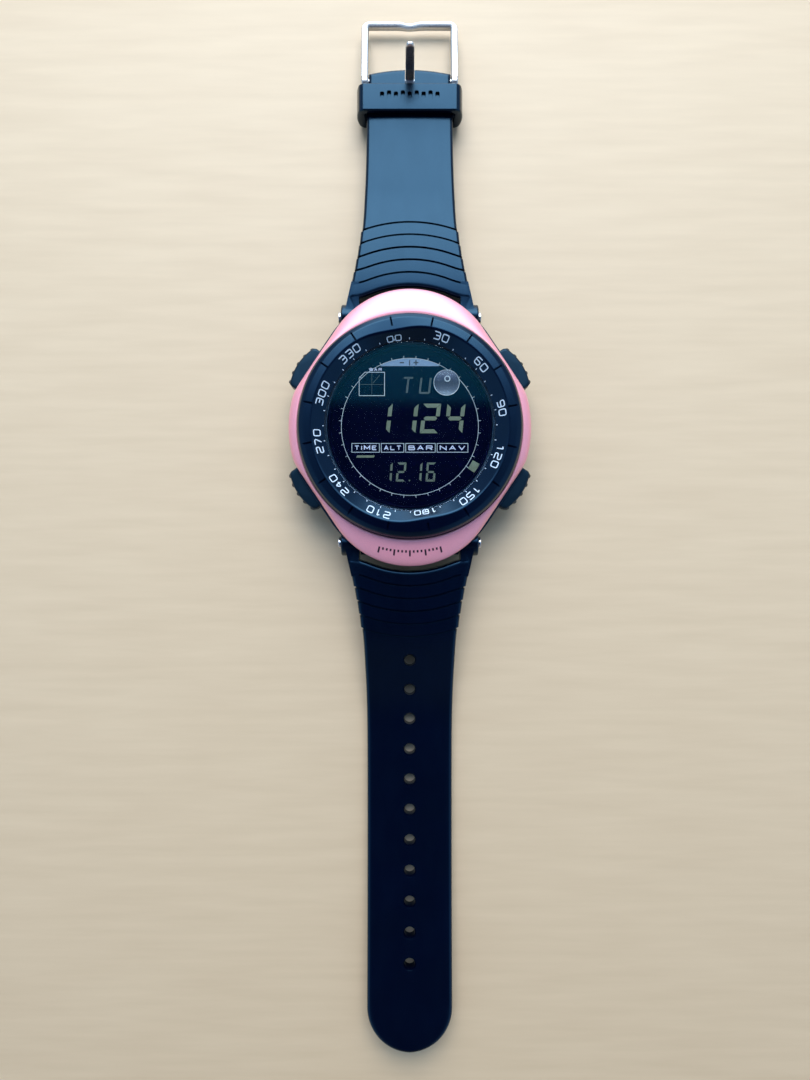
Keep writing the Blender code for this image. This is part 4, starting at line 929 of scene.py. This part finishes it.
def make_display_segments():
    lit = Plates(flat(LCD_TOP), 0.03, 0.01)
    for digit, x in (("1", -7.9), ("1", -2.6), ("2", 2.0), ("4", 7.0)):
        add_digit(lit, digit, x, -1.3, 3.7, 6.05, 0.8)
    soft = Plates(flat(LCD_TOP), 0.03, 0.01)
    for digit, x in (("1", -5.7), ("2", -2.9), ("1", 0.4), ("6", 3.2)):
        add_digit(soft, digit, x, -11.2, 1.9, 3.9, 0.42, 0.08)
    soft.dot(-0.1, -11.0, 0.16)
    add_piece("display_date", soft.bm, "case", "display", material=LCD_SOFT)
    lit.add([(-11.0, -6.3), (-7.4, -6.3), (-7.2, -5.85), (-10.8, -5.85)])
    turns = [math.radians(a) for a in (-35.5, -33.0, -30.5, -28.0)]
    lit.strip([polar(DIAL_APERTURE, t) for t in turns], [polar(14.6, t) for t in turns])
    add_piece("display_segments", lit.bm, "case", "display", material=LCD_LIT)


def make_sun_window():
    """The pale chord at the top of the display, with its plus and minus marks."""
    chord_y, radius = 12.45, 13.97
    reach = math.acos(chord_y / radius)
    turns = [math.pi / 2 + reach * (i / 16 - 1) for i in range(33)]
    plates = Plates(flat(LCD_TOP), 0.012, 0.005)
    plates.strip([polar(radius, t) for t in turns[1:-1]],
                 [(radius * math.cos(t), chord_y) for t in turns[1:-1]])
    add_piece("display_window", plates.bm, "case", "display", material=INK_PALE)
    marks = Plates(flat(LCD_TOP), 0.03, 0.0)
    marks.line([(-2.1, 13.15), (-1.2, 13.15)], 0.26)
    marks.line([(-0.05, 12.55), (-0.05, 13.7)], 0.2)
    marks.line([(0.75, 13.15), (1.75, 13.15)], 0.26)
    marks.line([(1.25, 12.65), (1.25, 13.02)], 0.26)
    marks.line([(1.25, 13.28), (1.25, 13.65)], 0.26)
    add_piece("display_window_marks", marks.bm, "case", "display", material=INK_DARK)


def make_level():
    """The bubble level: a clear domed vial with a dark cup behind it whose lining has painted shading, a pale
    ring on the cup's rim, and the bubble drawn as a pale ring that is a painted highlight of its outline.
    """
    shell = lathed([(0, LCD_TOP + 0.25), (VIAL_R - 0.1, LCD_TOP + 0.25, 0.1),
                    (VIAL_R - 0.1, VIAL_TOP - 0.2, 0.15), (VIAL_R * 0.6, VIAL_TOP - 0.06, 0.6),
                    (0, VIAL_TOP)], 64, 5)
    vial = moved(shell, (VIAL_X, VIAL_Y, 0))
    dome = add_piece("level_dome", vial, "case", "crystal_glass", ["level_vial"], 40, MATERIALS["vial_glass"])
    dome.visible_shadow = False
    cup = lathed([(0, LCD_TOP + 0.1), (VIAL_R, LCD_TOP + 0.1, 0.05), (VIAL_R, LCD_TOP + 0.5, 0.04),
                  (VIAL_R - 0.07, LCD_TOP + 0.5, 0.03), (VIAL_R - 0.07, LCD_TOP + 0.22, 0.05),
                  (0, LCD_TOP + 0.22)], 64)
    # the cup's material carries painted shading and reflection along Y
    add_piece("level_cup", moved(cup, (VIAL_X, VIAL_Y, 0)), "case", "dial_print", material=LEVEL_CUP_PAINTED_SHADE)
    # painted highlight: the bubble is a pale ring plate standing for its bright outline
    plates = Plates(flat(VIAL_TOP - 0.02), 0.02, 0.02)
    plates.ring(0.42, 0.62, 40, (VIAL_X + 0.15, VIAL_Y + 0.75))
    add_piece("level_bubble", plates.bm, "case", "crystal_glass", material=INK_LINE)
    rim = Plates(flat(LCD_TOP + 0.5), 0.02, 0.02)
    rim.ring(VIAL_R - 0.1, VIAL_R, 64, (VIAL_X, VIAL_Y))
    add_piece("level_rim", rim.bm, "case", "dial_print", material=INK_LINE)


def make_level_painted_shade():
    """The cup's lining with painted shading and reflection: pale at its upper and lower edges and dark across
    the middle.
    """
    nodes = Nodes("level_cup")
    middle = CASE_Y + VIAL_Y
    # painted shade and reflection: the colour ramps along Y across the cup, pale at both edges and dark in
    # the middle
    nodes.link(nodes.ramp(nodes.along_y((middle - VIAL_R) * MM, (middle + VIAL_R) * MM), [
        (0.05, (0.10, 0.14, 0.18)), (0.25, (0.02, 0.03, 0.055)), (0.5, (0.004, 0.006, 0.02)),
        (0.7, (0.02, 0.025, 0.06)), (0.95, (0.16, 0.18, 0.24)),
    ]), "Base Color")
    nodes.set(Roughness=0.4)
    return nodes.material


LEVEL_CUP_PAINTED_SHADE = make_level_painted_shade()

# ---------------------------------------------------------------- buttons


def in_button_frame(bm, degrees, side):
    """Moves a shape made with +X outwards at height zero to its button's place."""
    turn = math.radians(degrees)
    place = (side * BUTTON_OFFSET * math.sin(turn), -side * BUTTON_OFFSET * math.cos(turn), BUTTON_Z)
    return moved(bm, place, turn)


def button_face(y, inset, ridged):
    """Distance out of the cap's face at y: gently bowed, with rounded ridges."""
    face = BUTTON_FACE - (BUTTON_FACE - BUTTON_END_FACE) * (y / BUTTON_HALF_LENGTH) ** 2 - inset
    for ridge in RIDGES:
        apart = abs(y - ridge)
        if apart < 0.45:
            face += RIDGE_OUT * ridged * math.sqrt(1 - (apart / 0.45) ** 2)
    return face


def make_button_caps():
    for name, (degrees, side) in BUTTONS.items():
        loops = []
        edge = 0.5
        levels = [(0, edge)] + [
            (edge * (1 - math.cos(math.pi / 2 * i / 5)), edge * (1 - math.sin(math.pi / 2 * i / 5)))
            for i in range(1, 6)
        ]
        heights = [(-BUTTON_HALF_HEIGHT + up, inset) for up, inset in levels]
        heights += [(z, 0) for z in (-1.2, -0.9, -0.3, 0.3, 0.9, 1.2)]
        heights += [(BUTTON_HALF_HEIGHT - up, inset) for up, inset in reversed(levels)]
        for z, inset in heights:
            ridged = 1 - smooth_step(abs(z), 1.15, 1.62)
            ys = [(BUTTON_HALF_LENGTH - inset) * (2 * i / 80 - 1) for i in range(81)]
            loop = [(BUTTON_INNER, -BUTTON_HALF_LENGTH + inset)]
            for y in ys:
                nip = 0.45 * max(0.0, (abs(y) - (BUTTON_HALF_LENGTH - inset) + 0.45) / 0.45) ** 2
                loop.append((button_face(y, inset, ridged) - nip, y))
            loop.append((BUTTON_INNER, BUTTON_HALF_LENGTH - inset))
            loops.append([(x, y, z) for x, y in loop])
        cap = lofted(loops)
        cap = combine(cap, along_x(rod(SPRING_RECESS_R, BUTTON_INNER - 0.5, SPRING_END)))
        near, far = CLIP_GROOVE
        stem = [(0, STEM_END), (STEM_R, STEM_END, 0.1), (STEM_R, near), (STEM_NECK_R, near),
                (STEM_NECK_R, far), (STEM_R, far), (STEM_R, 25.3), (0, 25.3)]
        cap = combine(cap, along_x(lathed(stem, 32)), "UNION")
        cap = in_button_frame(cap, degrees, side)
        add_piece(name + "_key", cap, name, "button_rubber", [name + "_cap"], 40)


def make_springs():
    """The return spring of each button."""
    low, high, wire, steps = POCKET_FLOOR + 0.1, SPRING_END - 0.1, SPRING_WIRE, 24
    for name, (degrees, side) in BUTTONS.items():
        loops = []
        count = int(SPRING_TURNS * steps)
        for i in range(count + 1):
            share = smooth_step(i, steps * 0.4, count - steps * 0.4)
            x = low + wire + (high - low - 2 * wire) * (0.35 * share + 0.65 * i / count)
            turn = math.tau * i / steps
            loop = []
            for spin in circle(10):
                loop.append((x + wire * math.sin(spin), *polar(SPRING_R + wire * math.cos(spin), turn)))
            loops.append(loop)
        coil = in_button_frame(lofted(loops), degrees, side)
        coil = add_piece(name + "_coil", coil, "case", "steel", [name + "_spring"], 40)
        turn = math.radians(degrees)
        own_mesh(coil)


# ---------------------------------------------------------------- case back


def sector(inner, outer, turn, half_angle, low, high, steps=8):
    turns = [turn + half_angle * (2 * i / steps - 1) for i in range(steps + 1)]
    points = [polar(inner, t) for t in turns]
    points += [polar(outer, t) for t in reversed(turns)]
    return prism(points, low, high)


def make_case_back():
    back = turned(filleted([
        (COVER_HOLE_R, 0, 0.12), (BACK_R - 0.1, 0, 0.45), (BACK_R, BACK_TOP, 0.1), (GLAND_OUTER, BACK_TOP),
        (GLAND_OUTER, GLAND_FLOOR), (GLAND_INNER, GLAND_FLOOR), (GLAND_INNER, BACK_TOP),
        (COVER_HOLE_R, BACK_TOP),
    ]))
    for i in range(SCREW_COUNT):
        sink = [(0, -1), (SINK_R, -1), (SINK_R, SINK_FLOOR), (SINK_HOLE_R, SINK_FLOOR), (SINK_HOLE_R, 3),
                (0, 3)]
        back = combine(back, moved(lathed(sink, 32), screw_place(i)))
    gates = [sector(COVER_HOLE_R - 1, GATE_R, turn + math.pi / 4, 0.24, -1, 3)
             for turn in circle(BAYONET_COUNT)]
    back = combine(back, merged(*gates))
    add_piece("back_plate", back, "case", "case_plastic", ["case_back"], 32)
    for i in range(SCREW_COUNT):
        profile = [(0, SCREW_BASE), (SCREW_HEAD_R, SCREW_BASE, 0.2), (SCREW_HEAD_R, SCREW_HEAD_TOP),
                   (SCREW_SHANK_R, SCREW_HEAD_TOP), (SCREW_SHANK_R, SCREW_END, 0.3), (0, SCREW_END)]
        screw = moved(lathed(profile, 40), screw_place(i))
        x, y, _ = screw_place(i)
        for span_x, span_y in ((CROSS_HALF, CROSS_HALF_WIDTH), (CROSS_HALF_WIDTH, CROSS_HALF)):
            cross = block((x - span_x, x + span_x), (y - span_y, y + span_y), (-0.5, CROSS_FLOOR))
            screw = combine(screw, cross)
        add_piece(f"back_screw_{i + 1}", screw, "case", "steel", [f"case_back_screw_{i + 1}"], 30)


def make_battery_lid():
    low, high = LID_GROOVE
    lid = lathed([
        (0, LID_FACE), (BATTERY_COVER_R, LID_FACE, 0.3), (BATTERY_COVER_R, low), (LID_GROOVE_R, low),
        (LID_GROOVE_R, high), (BATTERY_COVER_R, high), (BATTERY_COVER_R, LID_TOP, 0.1),
        (LID_SKIRT_R, LID_TOP), (LID_SKIRT_R, LID_PLATE), (0, LID_PLATE),
    ], 128, 4)
    tabs = [sector(TAB_INNER, TAB_R, turn, math.radians(12), TAB_BASE, TAB_TOP)
            for turn in circle(BAYONET_COUNT)]
    lid = combine(lid, merged(*tabs), "UNION")
    lid = combine(lid, prism(rounded(COIN_SLOT_HALF, COIN_SLOT_HALF_WIDTH, 0.95, 8), -0.5, COIN_SLOT_FLOOR))
    # two index marks, as far apart as the lid turns
    marks = [moved(rod(0.35, -0.5, 0.3, 20), (*polar(11.9, math.radians(t)), 0)) for t in (60, 105)]
    lid = combine(lid, merged(*marks))
    add_piece("battery_lid_disc", lid, "battery_lid", "case_plastic", ["battery_cover"], 32)


# ---------------------------------------------------------------- strap


def strap_half_width(s):
    return (STRAP_WIDTH + STRAP_FLARE * math.exp(-((max(s, 0) / FLARE_LENGTH) ** FLARE_POWER))) / 2


def strap_heights(s, base):
    """(underside, top) of the strap at s, about the pin."""
    thick = ROOT_THICK + (STRAP_THICK - ROOT_THICK) * smooth_step(s, 3, 27)
    middle = (base + STRAP_THICK / 2 - PIN_Z) * smooth_step(s, 15, 41)
    return middle - thick / 2, middle + thick / 2


def corner_drop(depth, radius):
    """How far a rounded edge has dropped at the given depth in from it."""
    if depth >= radius:
        return 0.0
    return radius - math.sqrt(max(0.0, radius**2 - (radius - max(depth, 0.0)) ** 2))


def bow(t, tail):
    """Curvature of the strap's cross lines at t: they follow the case, then straighten."""
    near = 1 / HOLLOW_R + (1 / 29 - 1 / HOLLOW_R) * smooth_step(t, 5.9, 19.8)
    far = near * (1 - smooth_step(t, 20.2, 36))
    if not tail:
        far += smooth_step(t, 40, 52) / 42
    return far


def along_strap(t, x, tail):
    """Distance from the pin of the cross line t, at x."""
    k = bow(t, tail)
    if k < 1e-5:
        return t
    flatten = 0.11 * (1 - smooth_step(t, 9.5, 18))
    x = abs(x) - flatten * max(0.0, abs(x) - 8.2) ** 2
    return t - (1 - math.sqrt(max(0.0, 1 - (k * x) ** 2))) / k


def groove_depth(t):
    """How deep the rib grooves cut at the cross line t, from 0 to 1."""
    for groove in GROOVES:
        apart = abs(t - groove)
        if apart < GROOVE_HALF:
            return 1.0 if apart < GROOVE_HALF * 0.6 else 0.75 if apart < GROOVE_HALF * 0.9 else 0.0
    return 0.0


def rib_step(t):
    """The ribs' edges stand out a little at their far end, like shingles."""
    last = GROOVES[-1]
    if t > last:
        return -0.16 * (1 - smooth_step(t, last, last + 8))
    start = max([g for g in GROOVES if g <= t], default=GROOVES[0] - RIB_PITCH)
    return -0.02 + 0.12 * (t - start) / RIB_PITCH


def strap_half(t, tail, end):
    """Half width of the strap on the cross line t."""
    half = strap_half_width(t)
    for _ in range(4):
        half = strap_half_width(along_strap(t, half, tail)) + (rib_step(t) if t < 30 else 0)
    if tail:
        over = t - (end - STRAP_WIDTH / 2)
        if over > 0:
            radius = STRAP_WIDTH / 2
            half = min(half, math.sqrt(max(0.04, radius**2 - over**2)))
    elif t > 48.75:
        half = min(half, BUCKLE_STRAP_HALF)
    return half


def strap_rows(tail, end):
    """The cross lines of a strap half: 0.75 mm apart, and closer at the grooves and at its ends."""
    rows = {5.9, 5.95, 6.05, 6.2, 6.45}
    step = 6.9
    while step < end - 1.2:
        if all(abs(step - g) > 0.35 for g in GROOVES):
            rows.add(round(step, 3))
        step += 0.75
    for groove in GROOVES:
        rows.update(groove + GROOVE_HALF * k for k in (-1.3, -1.0, -0.89, -0.6, 0.6, 0.89, 1.0, 1.3))
    rows.update(end - k for k in (1.1, 0.8, 0.55, 0.35, 0.2, 0.1, 0.035, 0.0))
    if tail:
        radius = STRAP_WIDTH / 2
        rows.update(end - radius + radius * math.sin(math.pi / 2 * i / 16) for i in range(15))
    else:
        rows.update((48.55, 48.7, 48.76, 48.9))
    rows = sorted(rows)
    return [r for i, r in enumerate(rows) if i == 0 or r - rows[i - 1] > 0.012]


def tail_lift(s):
    """The tail rises from the table towards its tip."""
    return TAIL_RISE * max(0.0, (s - RISE_START) / (TAIL_LENGTH - RISE_START)) ** 2


def make_strap_mesh(tail):
    """One half of the strap about its pin, with +Y running out from the case."""
    end = TAIL_LENGTH if tail else BUCKLE_STRAP_END
    base = 0 if tail else STRAP_LIFT
    edge_top, edge_low = 0.7, 0.4
    edges = [0.0, 0.04, 0.12, 0.24, 0.42, 0.7]
    bm = bmesh.new()
    tops, lows = [], []
    for t in strap_rows(tail, end):
        half = strap_half(t, tail, end)
        cut = groove_depth(t)
        xs = [-(half - min(e, half * 0.8)) for e in edges]
        inner = half - min(0.7, half * 0.8)
        xs += [inner * (2 * i / 26 - 1) for i in range(1, 26)]
        xs += [-x for x in reversed(xs[:6])]
        top_row, low_row = [], []
        for x in xs:
            s = along_strap(t, x, tail)
            low, high = strap_heights(s, base)
            if tail:
                low, high = low + tail_lift(s), high + tail_lift(s)
            depth = min(half - abs(x), t - 5.9, end - t)
            if tail and t > end - STRAP_WIDTH / 2:
                depth = STRAP_WIDTH / 2 - math.hypot(x, t - (end - STRAP_WIDTH / 2))
            crown = 0.12 * (1 - (x / half) ** 2) - 0.12
            dip = cut * GROOVE_DEPTH
            side_cut = cut * 0.28 * smooth_step(abs(x), half - 0.7, half)
            x_cut = x - math.copysign(side_cut, x)
            top_row.append(bm.verts.new((x_cut, s, high + crown - corner_drop(depth, edge_top) - dip)))
            low_row.append(bm.verts.new((x_cut, s, low + corner_drop(depth, edge_low))))
        tops.append(top_row)
        lows.append(low_row)
    for rows, flip in ((tops, False), (lows, True)):
        for a, b in zip(rows, rows[1:]):
            for i in range(len(a) - 1):
                face = (a[i], a[i + 1], b[i + 1], b[i])
                bm.faces.new(reversed(face) if flip else face)
    for a, b, c, d in zip(tops, tops[1:], lows, lows[1:]):
        bm.faces.new((a[0], b[0], d[0], c[0]))
        bm.faces.new((b[-1], a[-1], c[-1], d[-1]))
    for top, low, flip in ((tops[0], lows[0], True), (tops[-1], lows[-1], False)):
        for i in range(len(top) - 1):
            face = (top[i], top[i + 1], low[i + 1], low[i])
            bm.faces.new(reversed(face) if flip else face)
    bmesh.ops.recalc_face_normals(bm, faces=bm.faces)
    return bm


def add_ears(strap):
    """Knuckles round the lug pin, with webs into the strap's root."""
    for side in (1, -1):
        ends = sorted((side * EAR_INNER, side * EAR_OUTER))
        knuckle = along_x(rod(EAR_R, *ends, 64, 0.35))
        strap = combine(strap, knuckle, "UNION")
        web = [(EAR_INNER + 0.02, 0.0), (EAR_INNER + 0.02, 7.0)]
        web += [(strap_half_width(s) + 0.04, s) for s in (7.0, 5.5, 4.0, 2.5, 1.0, 0.0)]
        web = prism([(side * x, y) for x, y in web], -2.3, 2.42)
        strap = combine(strap, web, "UNION")
    return combine(strap, along_x(rod(PIN_HOLE_R, -16, 16, 32)))


def make_straps():
    strap = add_ears(make_strap_mesh(False))
    tongue_slot = prism(rounded(1.0, 4.0, 0.9, 6), -8, 4)
    strap = combine(strap, moved(tongue_slot, (0, BUCKLE_STRAP_END - 0.3, 0)))
    strap = combine(strap, along_x(rod(BAR_HOLE_R, -12, 12), (0, BAR_S, BAR_Z - PIN_Z)))
    strap = moved(strap, (0, PIN_Y, PIN_Z))
    add_piece("strap_short", strap, "upper_strap", "elastomer", ["strap_buckle_half"], 38)

    strap = add_ears(make_strap_mesh(True))
    holes = []
    for i in range(HOLE_COUNT):
        s = FIRST_HOLE + i * HOLE_PITCH
        low, top = (height + tail_lift(s) for height in strap_heights(s, 0))
        hole = [(0, low - 1), (HOLE_R, low - 1), (HOLE_R, top - 0.35), (HOLE_R + 0.3, top + 0.15),
                (HOLE_R + 0.3, top + 1), (0, top + 1)]
        holes.append(moved(lathed(hole, 32), (0, s, 0)))
    strap = combine(strap, merged(*holes))
    strap = moved(strap, (0, -PIN_Y, PIN_Z), math.pi)
    # moved() turns about the origin before it moves, so the strap now runs towards -Y
    add_piece("strap_long", strap, "lower_strap", "elastomer", ["strap_tail_half"], 38)


def make_strap_pins():
    """A tube with a head at one end, and a screw whose own head closes the other."""
    tube = [(0, -PIN_THREAD_FLOOR), (PIN_THREAD_R, -PIN_THREAD_FLOOR), (PIN_THREAD_R, -PIN_END),
            (PIN_R, -PIN_END), (PIN_R, PIN_HEAD), (PIN_HEAD_R, PIN_HEAD, 0.1), (PIN_HEAD_R, PIN_FACE, 0.2),
            (0, PIN_FACE)]
    screw = [(0, -PIN_FACE), (PIN_HEAD_R, -PIN_FACE, 0.2), (PIN_HEAD_R, -PIN_HEAD, 0.1),
             (PIN_SCREW_R, -PIN_HEAD), (PIN_SCREW_R, -PIN_SCREW_END), (0, -PIN_SCREW_END)]
    for node, side in (("strap_pin_upper", 1), ("strap_pin_lower", -1)):
        y = side * PIN_Y
        for profile, x, ending, replaced in ((tube, PIN_FACE, "_tube", node),
                                             (screw, -PIN_FACE, "_end_screw", node + "_screw")):
            slot = block((x - 0.3, x + 0.3), (y - 2, y + 2), (PIN_Z - 0.18, PIN_Z + 0.18))
            pin = combine(along_x(lathed(profile, 40), (0, y, PIN_Z)), slot)
            add_piece(node + ending, pin, "case", "steel", [replaced], 30)


# ---------------------------------------------------------------- buckle and keeper


def squared(turn, power):
    """A point of a section that is squarer than a circle."""
    u, v = polar(1, turn)
    return math.copysign(abs(u) ** power, u), math.copysign(abs(v) ** power, v)


SECTION_TURNS = [math.tau * (k + 0.5) / 20 for k in range(20)]


def make_buckle():
    corner = 0.95
    arm_x = (FRAME_INNER + FRAME_OUTER) / 2
    bar_y = FRAME_REACH - FRAME_BAR / 2
    path = [(arm_x, 0.2 + (bar_y - corner - 0.2) * i / 12) for i in range(12)]
    bend = (polar(corner, math.radians(90 * i / 10)) for i in range(11))
    path += [(arm_x - corner + x, bar_y - corner + y) for x, y in bend]
    path += [((arm_x - corner) * (1 - i / 24), bar_y) for i in range(1, 25)]
    path += [(-x, y) for x, y in reversed(path[:-1])]
    loops = []
    for i, (x, y) in enumerate(path):
        before, after = path[max(i - 1, 0)], path[min(i + 1, len(path) - 1)]
        along = Vector((after[0] - before[0], after[1] - before[1])).normalized()
        share = smooth_step(y, bar_y - corner, bar_y)
        half = ((FRAME_OUTER - FRAME_INNER) * (1 - share) + FRAME_BAR * share) / 2
        notch = 0.42 * math.exp(-((x / 1.5) ** 2)) * share
        z = FRAME_RISE * smooth_step(y, -1, FRAME_REACH)
        section = []
        for u, v in (squared(turn, 0.4) for turn in SECTION_TURNS):
            drop = notch + 0.28 * (0.5 - u / 2) if v > 0 else 0
            section.append((x + along.y * u * half, y - along.x * u * half - notch * 0.45,
                            z + v * FRAME_HEIGHT / 2 - drop))
        loops.append(section)
    buckle = lofted(loops)
    for side in (1, -1):
        ends = sorted((side * (FRAME_INNER + 0.05), side * (FRAME_OUTER - 0.1)))
        buckle = combine(buckle, along_x(rod(1.25, *ends, 48, 0.3)), "UNION")
    buckle = combine(buckle, along_x(rod(BAR_HOLE_R, -12, 12)))
    place = (0, PIN_Y + BAR_S, BAR_Z)
    add_piece("buckle_loop", moved(buckle, place), "buckle", "buckle_steel", ["buckle_frame"], 40)
    bar = along_x(rod(BAR_R, -BAR_HALF, BAR_HALF, 32, 0.15), place)
    add_piece("buckle_pin", bar, "upper_strap", "buckle_steel", ["buckle_bar"], 40)


def make_tongue():
    loops = []
    for i in range(25):
        s = 1.0 + (TONGUE_LENGTH - 1.02) * (1 - (1 - i / 24) ** 1.6)
        nose = 0.2 + 0.8 * math.sqrt(max(0.0, 1 - max(0.0, (s - TONGUE_LENGTH + 0.9) / 0.9) ** 2))
        arch = 0.32 * math.sin(math.pi * min(1.0, s / TONGUE_LENGTH)) ** 2 - 0.1
        section = (squared(turn, 0.45) for turn in SECTION_TURNS)
        loops.append([(u * 0.9 * nose, s, v * 0.5 * nose + arch) for u, v in section])
    tongue = combine(lofted(loops), along_x(rod(1.55, -0.9, 0.9, 48, 0.15)), "UNION")
    tongue = combine(tongue, along_x(rod(BAR_HOLE_R, -3, 3)))
    bmesh.ops.rotate(tongue, verts=tongue.verts, cent=(0, 0, 0),
                     matrix=Matrix.Rotation(math.radians(TONGUE_ANGLE), 3, "X"))
    place = (0, PIN_Y + BAR_S, BAR_Z)
    add_piece("buckle_prong", moved(tongue, place), "tongue", "buckle_steel", ["buckle_tongue"], 40)


def make_keeper():
    low, high = cad_box("keeper")
    half, top = high.x, high.z
    start, end = low.y - CASE_Y, high.y - CASE_Y
    loops = []
    rounding = [(0.0, 0.35), (0.05, 0.2), (0.16, 0.07), (0.35, 0.0)]
    for outside in (True, False):
        rows = [(start + along, inset) for along, inset in rounding]
        rows += [(end - along, inset) for along, inset in reversed(rounding)]
        if not outside:
            rows.reverse()
        for y, inset in rows:
            if outside:
                section = keeper_section(half - inset, top / 2 - inset, 0.9, 0.8)
                loops.append([(x, y, z + top / 2) for x, z in section])
            else:
                grow = inset * 0.5
                section = keeper_section(KEEPER_INNER_HALF + grow, (KEEPER_CEILING - KEEPER_FLOOR) / 2 + grow,
                                         0.9, 0.0)
                loops.append([(x, y, z + (KEEPER_CEILING + KEEPER_FLOOR) / 2) for x, z in section])
    keeper = lofted(loops, ring_shaped=True)
    marks = []
    for i in range(-4, 5):
        half_y = 0.95 if i % 2 else 0.7
        mark = prism(rounded(0.45, half_y, 0.3, 5), top - 0.7, top + 1)
        marks.append(moved(mark, (i * 1.45, (start + end) / 2 + 0.3, 0)))
    keeper = combine(keeper, merged(*marks))
    add_piece("keeper_loop", keeper, "keeper", "elastomer", ["keeper"], 40)


def keeper_section(half_x, half_z, radius, bulge):
    """A rounded rectangle whose sides bulge: the corners stand in by the bulge."""
    points = []
    for x, z in subdivided(rounded(half_x, half_z, radius, 8), 8):
        lean = bulge * (z / half_z) ** 2
        points.append((x - math.copysign(lean, x) * min(1, abs(x) / half_x), z))
    return points


def subdivided(points, parts):
    """Adds points on the long sides of a closed outline."""
    result = []
    for (x0, z0), (x1, z1) in zip(points, points[1:] + points[:1]):
        result.append((x0, z0))
        if math.hypot(x1 - x0, z1 - z0) > 1.5:
            for k in range(1, parts):
                result.append((x0 + (x1 - x0) * k / parts, z0 + (z1 - z0) * k / parts))
    return result


# ---------------------------------------------------------------- hidden pieces


def finish_inner_nodes():
    """Every CAD node that still shows gets its slot's procedural material."""
    slots = {entry["node"]: entry["material_slot"] for entry in frame["record"]["subparts"]}
    for name, obj in frame["nodes"].items():
        obj.data.materials.clear()
        obj.data.materials.append(MATERIALS[slots[name]])


# ---------------------------------------------------------------- stage


def make_stage():
    floor = bmesh.new()
    bmesh.ops.create_grid(floor, x_segments=1, y_segments=1, size=1.6)
    mesh = bpy.data.meshes.new("floor")
    floor.to_mesh(mesh)
    floor.free()
    obj = new_object("floor", mesh)
    obj.location.z = -0.00002
    nodes = Nodes("pale_table")
    grain = nodes.noise(40, 5.0, (1.0, 10.0, 1.0))
    wood = nodes.ramp(grain, [(0.3, (0.71, 0.525, 0.34)), (0.7, (0.76, 0.57, 0.375))])
    # painted shade: the floor's colour darkens towards -Y, where the window's light falls off
    tone = nodes.ramp(nodes.along_y(-0.13, 0.10), [(0.0, (0.84, 0.77, 0.70)), (1.0, (1.0, 1.0, 1.0))])
    nodes.link(nodes.mix(1.0, wood, tone, "MULTIPLY"), "Base Color")
    nodes.set(Roughness=0.5)
    mesh.materials.append(nodes.material)
    obj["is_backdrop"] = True


def make_world():
    """A studio dome: a tall bright window towards +Y, where the strap's buckle points, and dark overhead."""
    world = bpy.data.worlds.new("studio")
    bpy.context.scene.world = world
    nodes = Nodes("studio", world, "Background", "Generated")
    split = nodes.add("ShaderNodeSeparateXYZ", Vector=nodes.place)
    towards = nodes.add("ShaderNodeMapRange", Value=split.outputs["Y"], From_Min=-1.0).outputs["Result"]
    strength = 6.0
    stops = [
        (0.0, (0.30, 0.28, 0.27)), (0.18, (0.16, 0.15, 0.16)), (0.26, (0.02, 0.03, 0.08)),
        (0.50, (0.0, 0.01, 0.06)), (0.584, (0.0, 0.015, 0.08)), (0.590, (0.01, 0.20, 0.38)),
        (0.622, (0.03, 0.30, 0.55)), (0.645, (1.5, 2.2, 3.4)), (0.80, (2.4, 3.6, 5.2)),
        (1.0, (3.4, 4.0, 4.6)),
    ]
    dome = nodes.ramp(towards, [(place, tuple(c / strength for c in colour)) for place, colour in stops])
    aside = nodes.add("ShaderNodeMath", Value=split.outputs["X"])
    aside.operation = "ABSOLUTE"
    fade = nodes.add("ShaderNodeMapRange", Value=aside.outputs[0], From_Min=0.15, From_Max=0.55)
    fade.interpolation_type = "SMOOTHSTEP"
    sides = (0.36 / strength, 0.56 / strength, 0.82 / strength, 1)
    nodes.link(nodes.mix(fade.outputs["Result"], dome, sides), "Color")
    nodes.set(Strength=strength)


def add_area(name, place, size, power, colour, target=(0, 0, 0)):
    light = bpy.data.lights.new(name, "AREA")
    light.shape = "RECTANGLE"
    light.size, light.size_y = size
    light.energy = power
    light.color = colour
    obj = new_object(name, light)
    obj.location = place
    obj.rotation_euler = (Vector(target) - Vector(place)).to_track_quat("-Z", "Y").to_euler()


def make_camera():
    """Straight down from 171 mm, with a wide phone lens: 26 mm on a full frame."""
    data = bpy.data.cameras.new("camera")
    data.lens = 26.0
    data.clip_start = 0.005
    camera = new_object("camera", data)
    camera.location = (-0.001, (CASE_Y - 23.2) * MM, 0.1707)
    camera.rotation_euler = (0, 0, 0)
    bpy.context.scene.camera = camera


def main():
    make_camera()
    make_stage()
    make_world()
    add_area("window", (0.0, 0.48, 0.50), (0.6, 0.36), 3.2, (1.0, 0.93, 0.80))
    bpy.context.scene.view_settings.view_transform = "Standard"
    finish_inner_nodes()
    make_case_body()
    make_cover()
    make_badge()
    make_bezel()
    make_bezel_print()
    make_crystal()
    make_display_print()
    make_display_segments()
    make_sun_window()
    make_level()
    make_button_caps()
    make_springs()
    make_case_back()
    make_battery_lid()
    make_straps()
    make_strap_pins()
    make_buckle()
    make_tongue()
    make_keeper()


main()
sizes = [[list(corner) for corner in box] for box in (CAD_BOUNDS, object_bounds())]
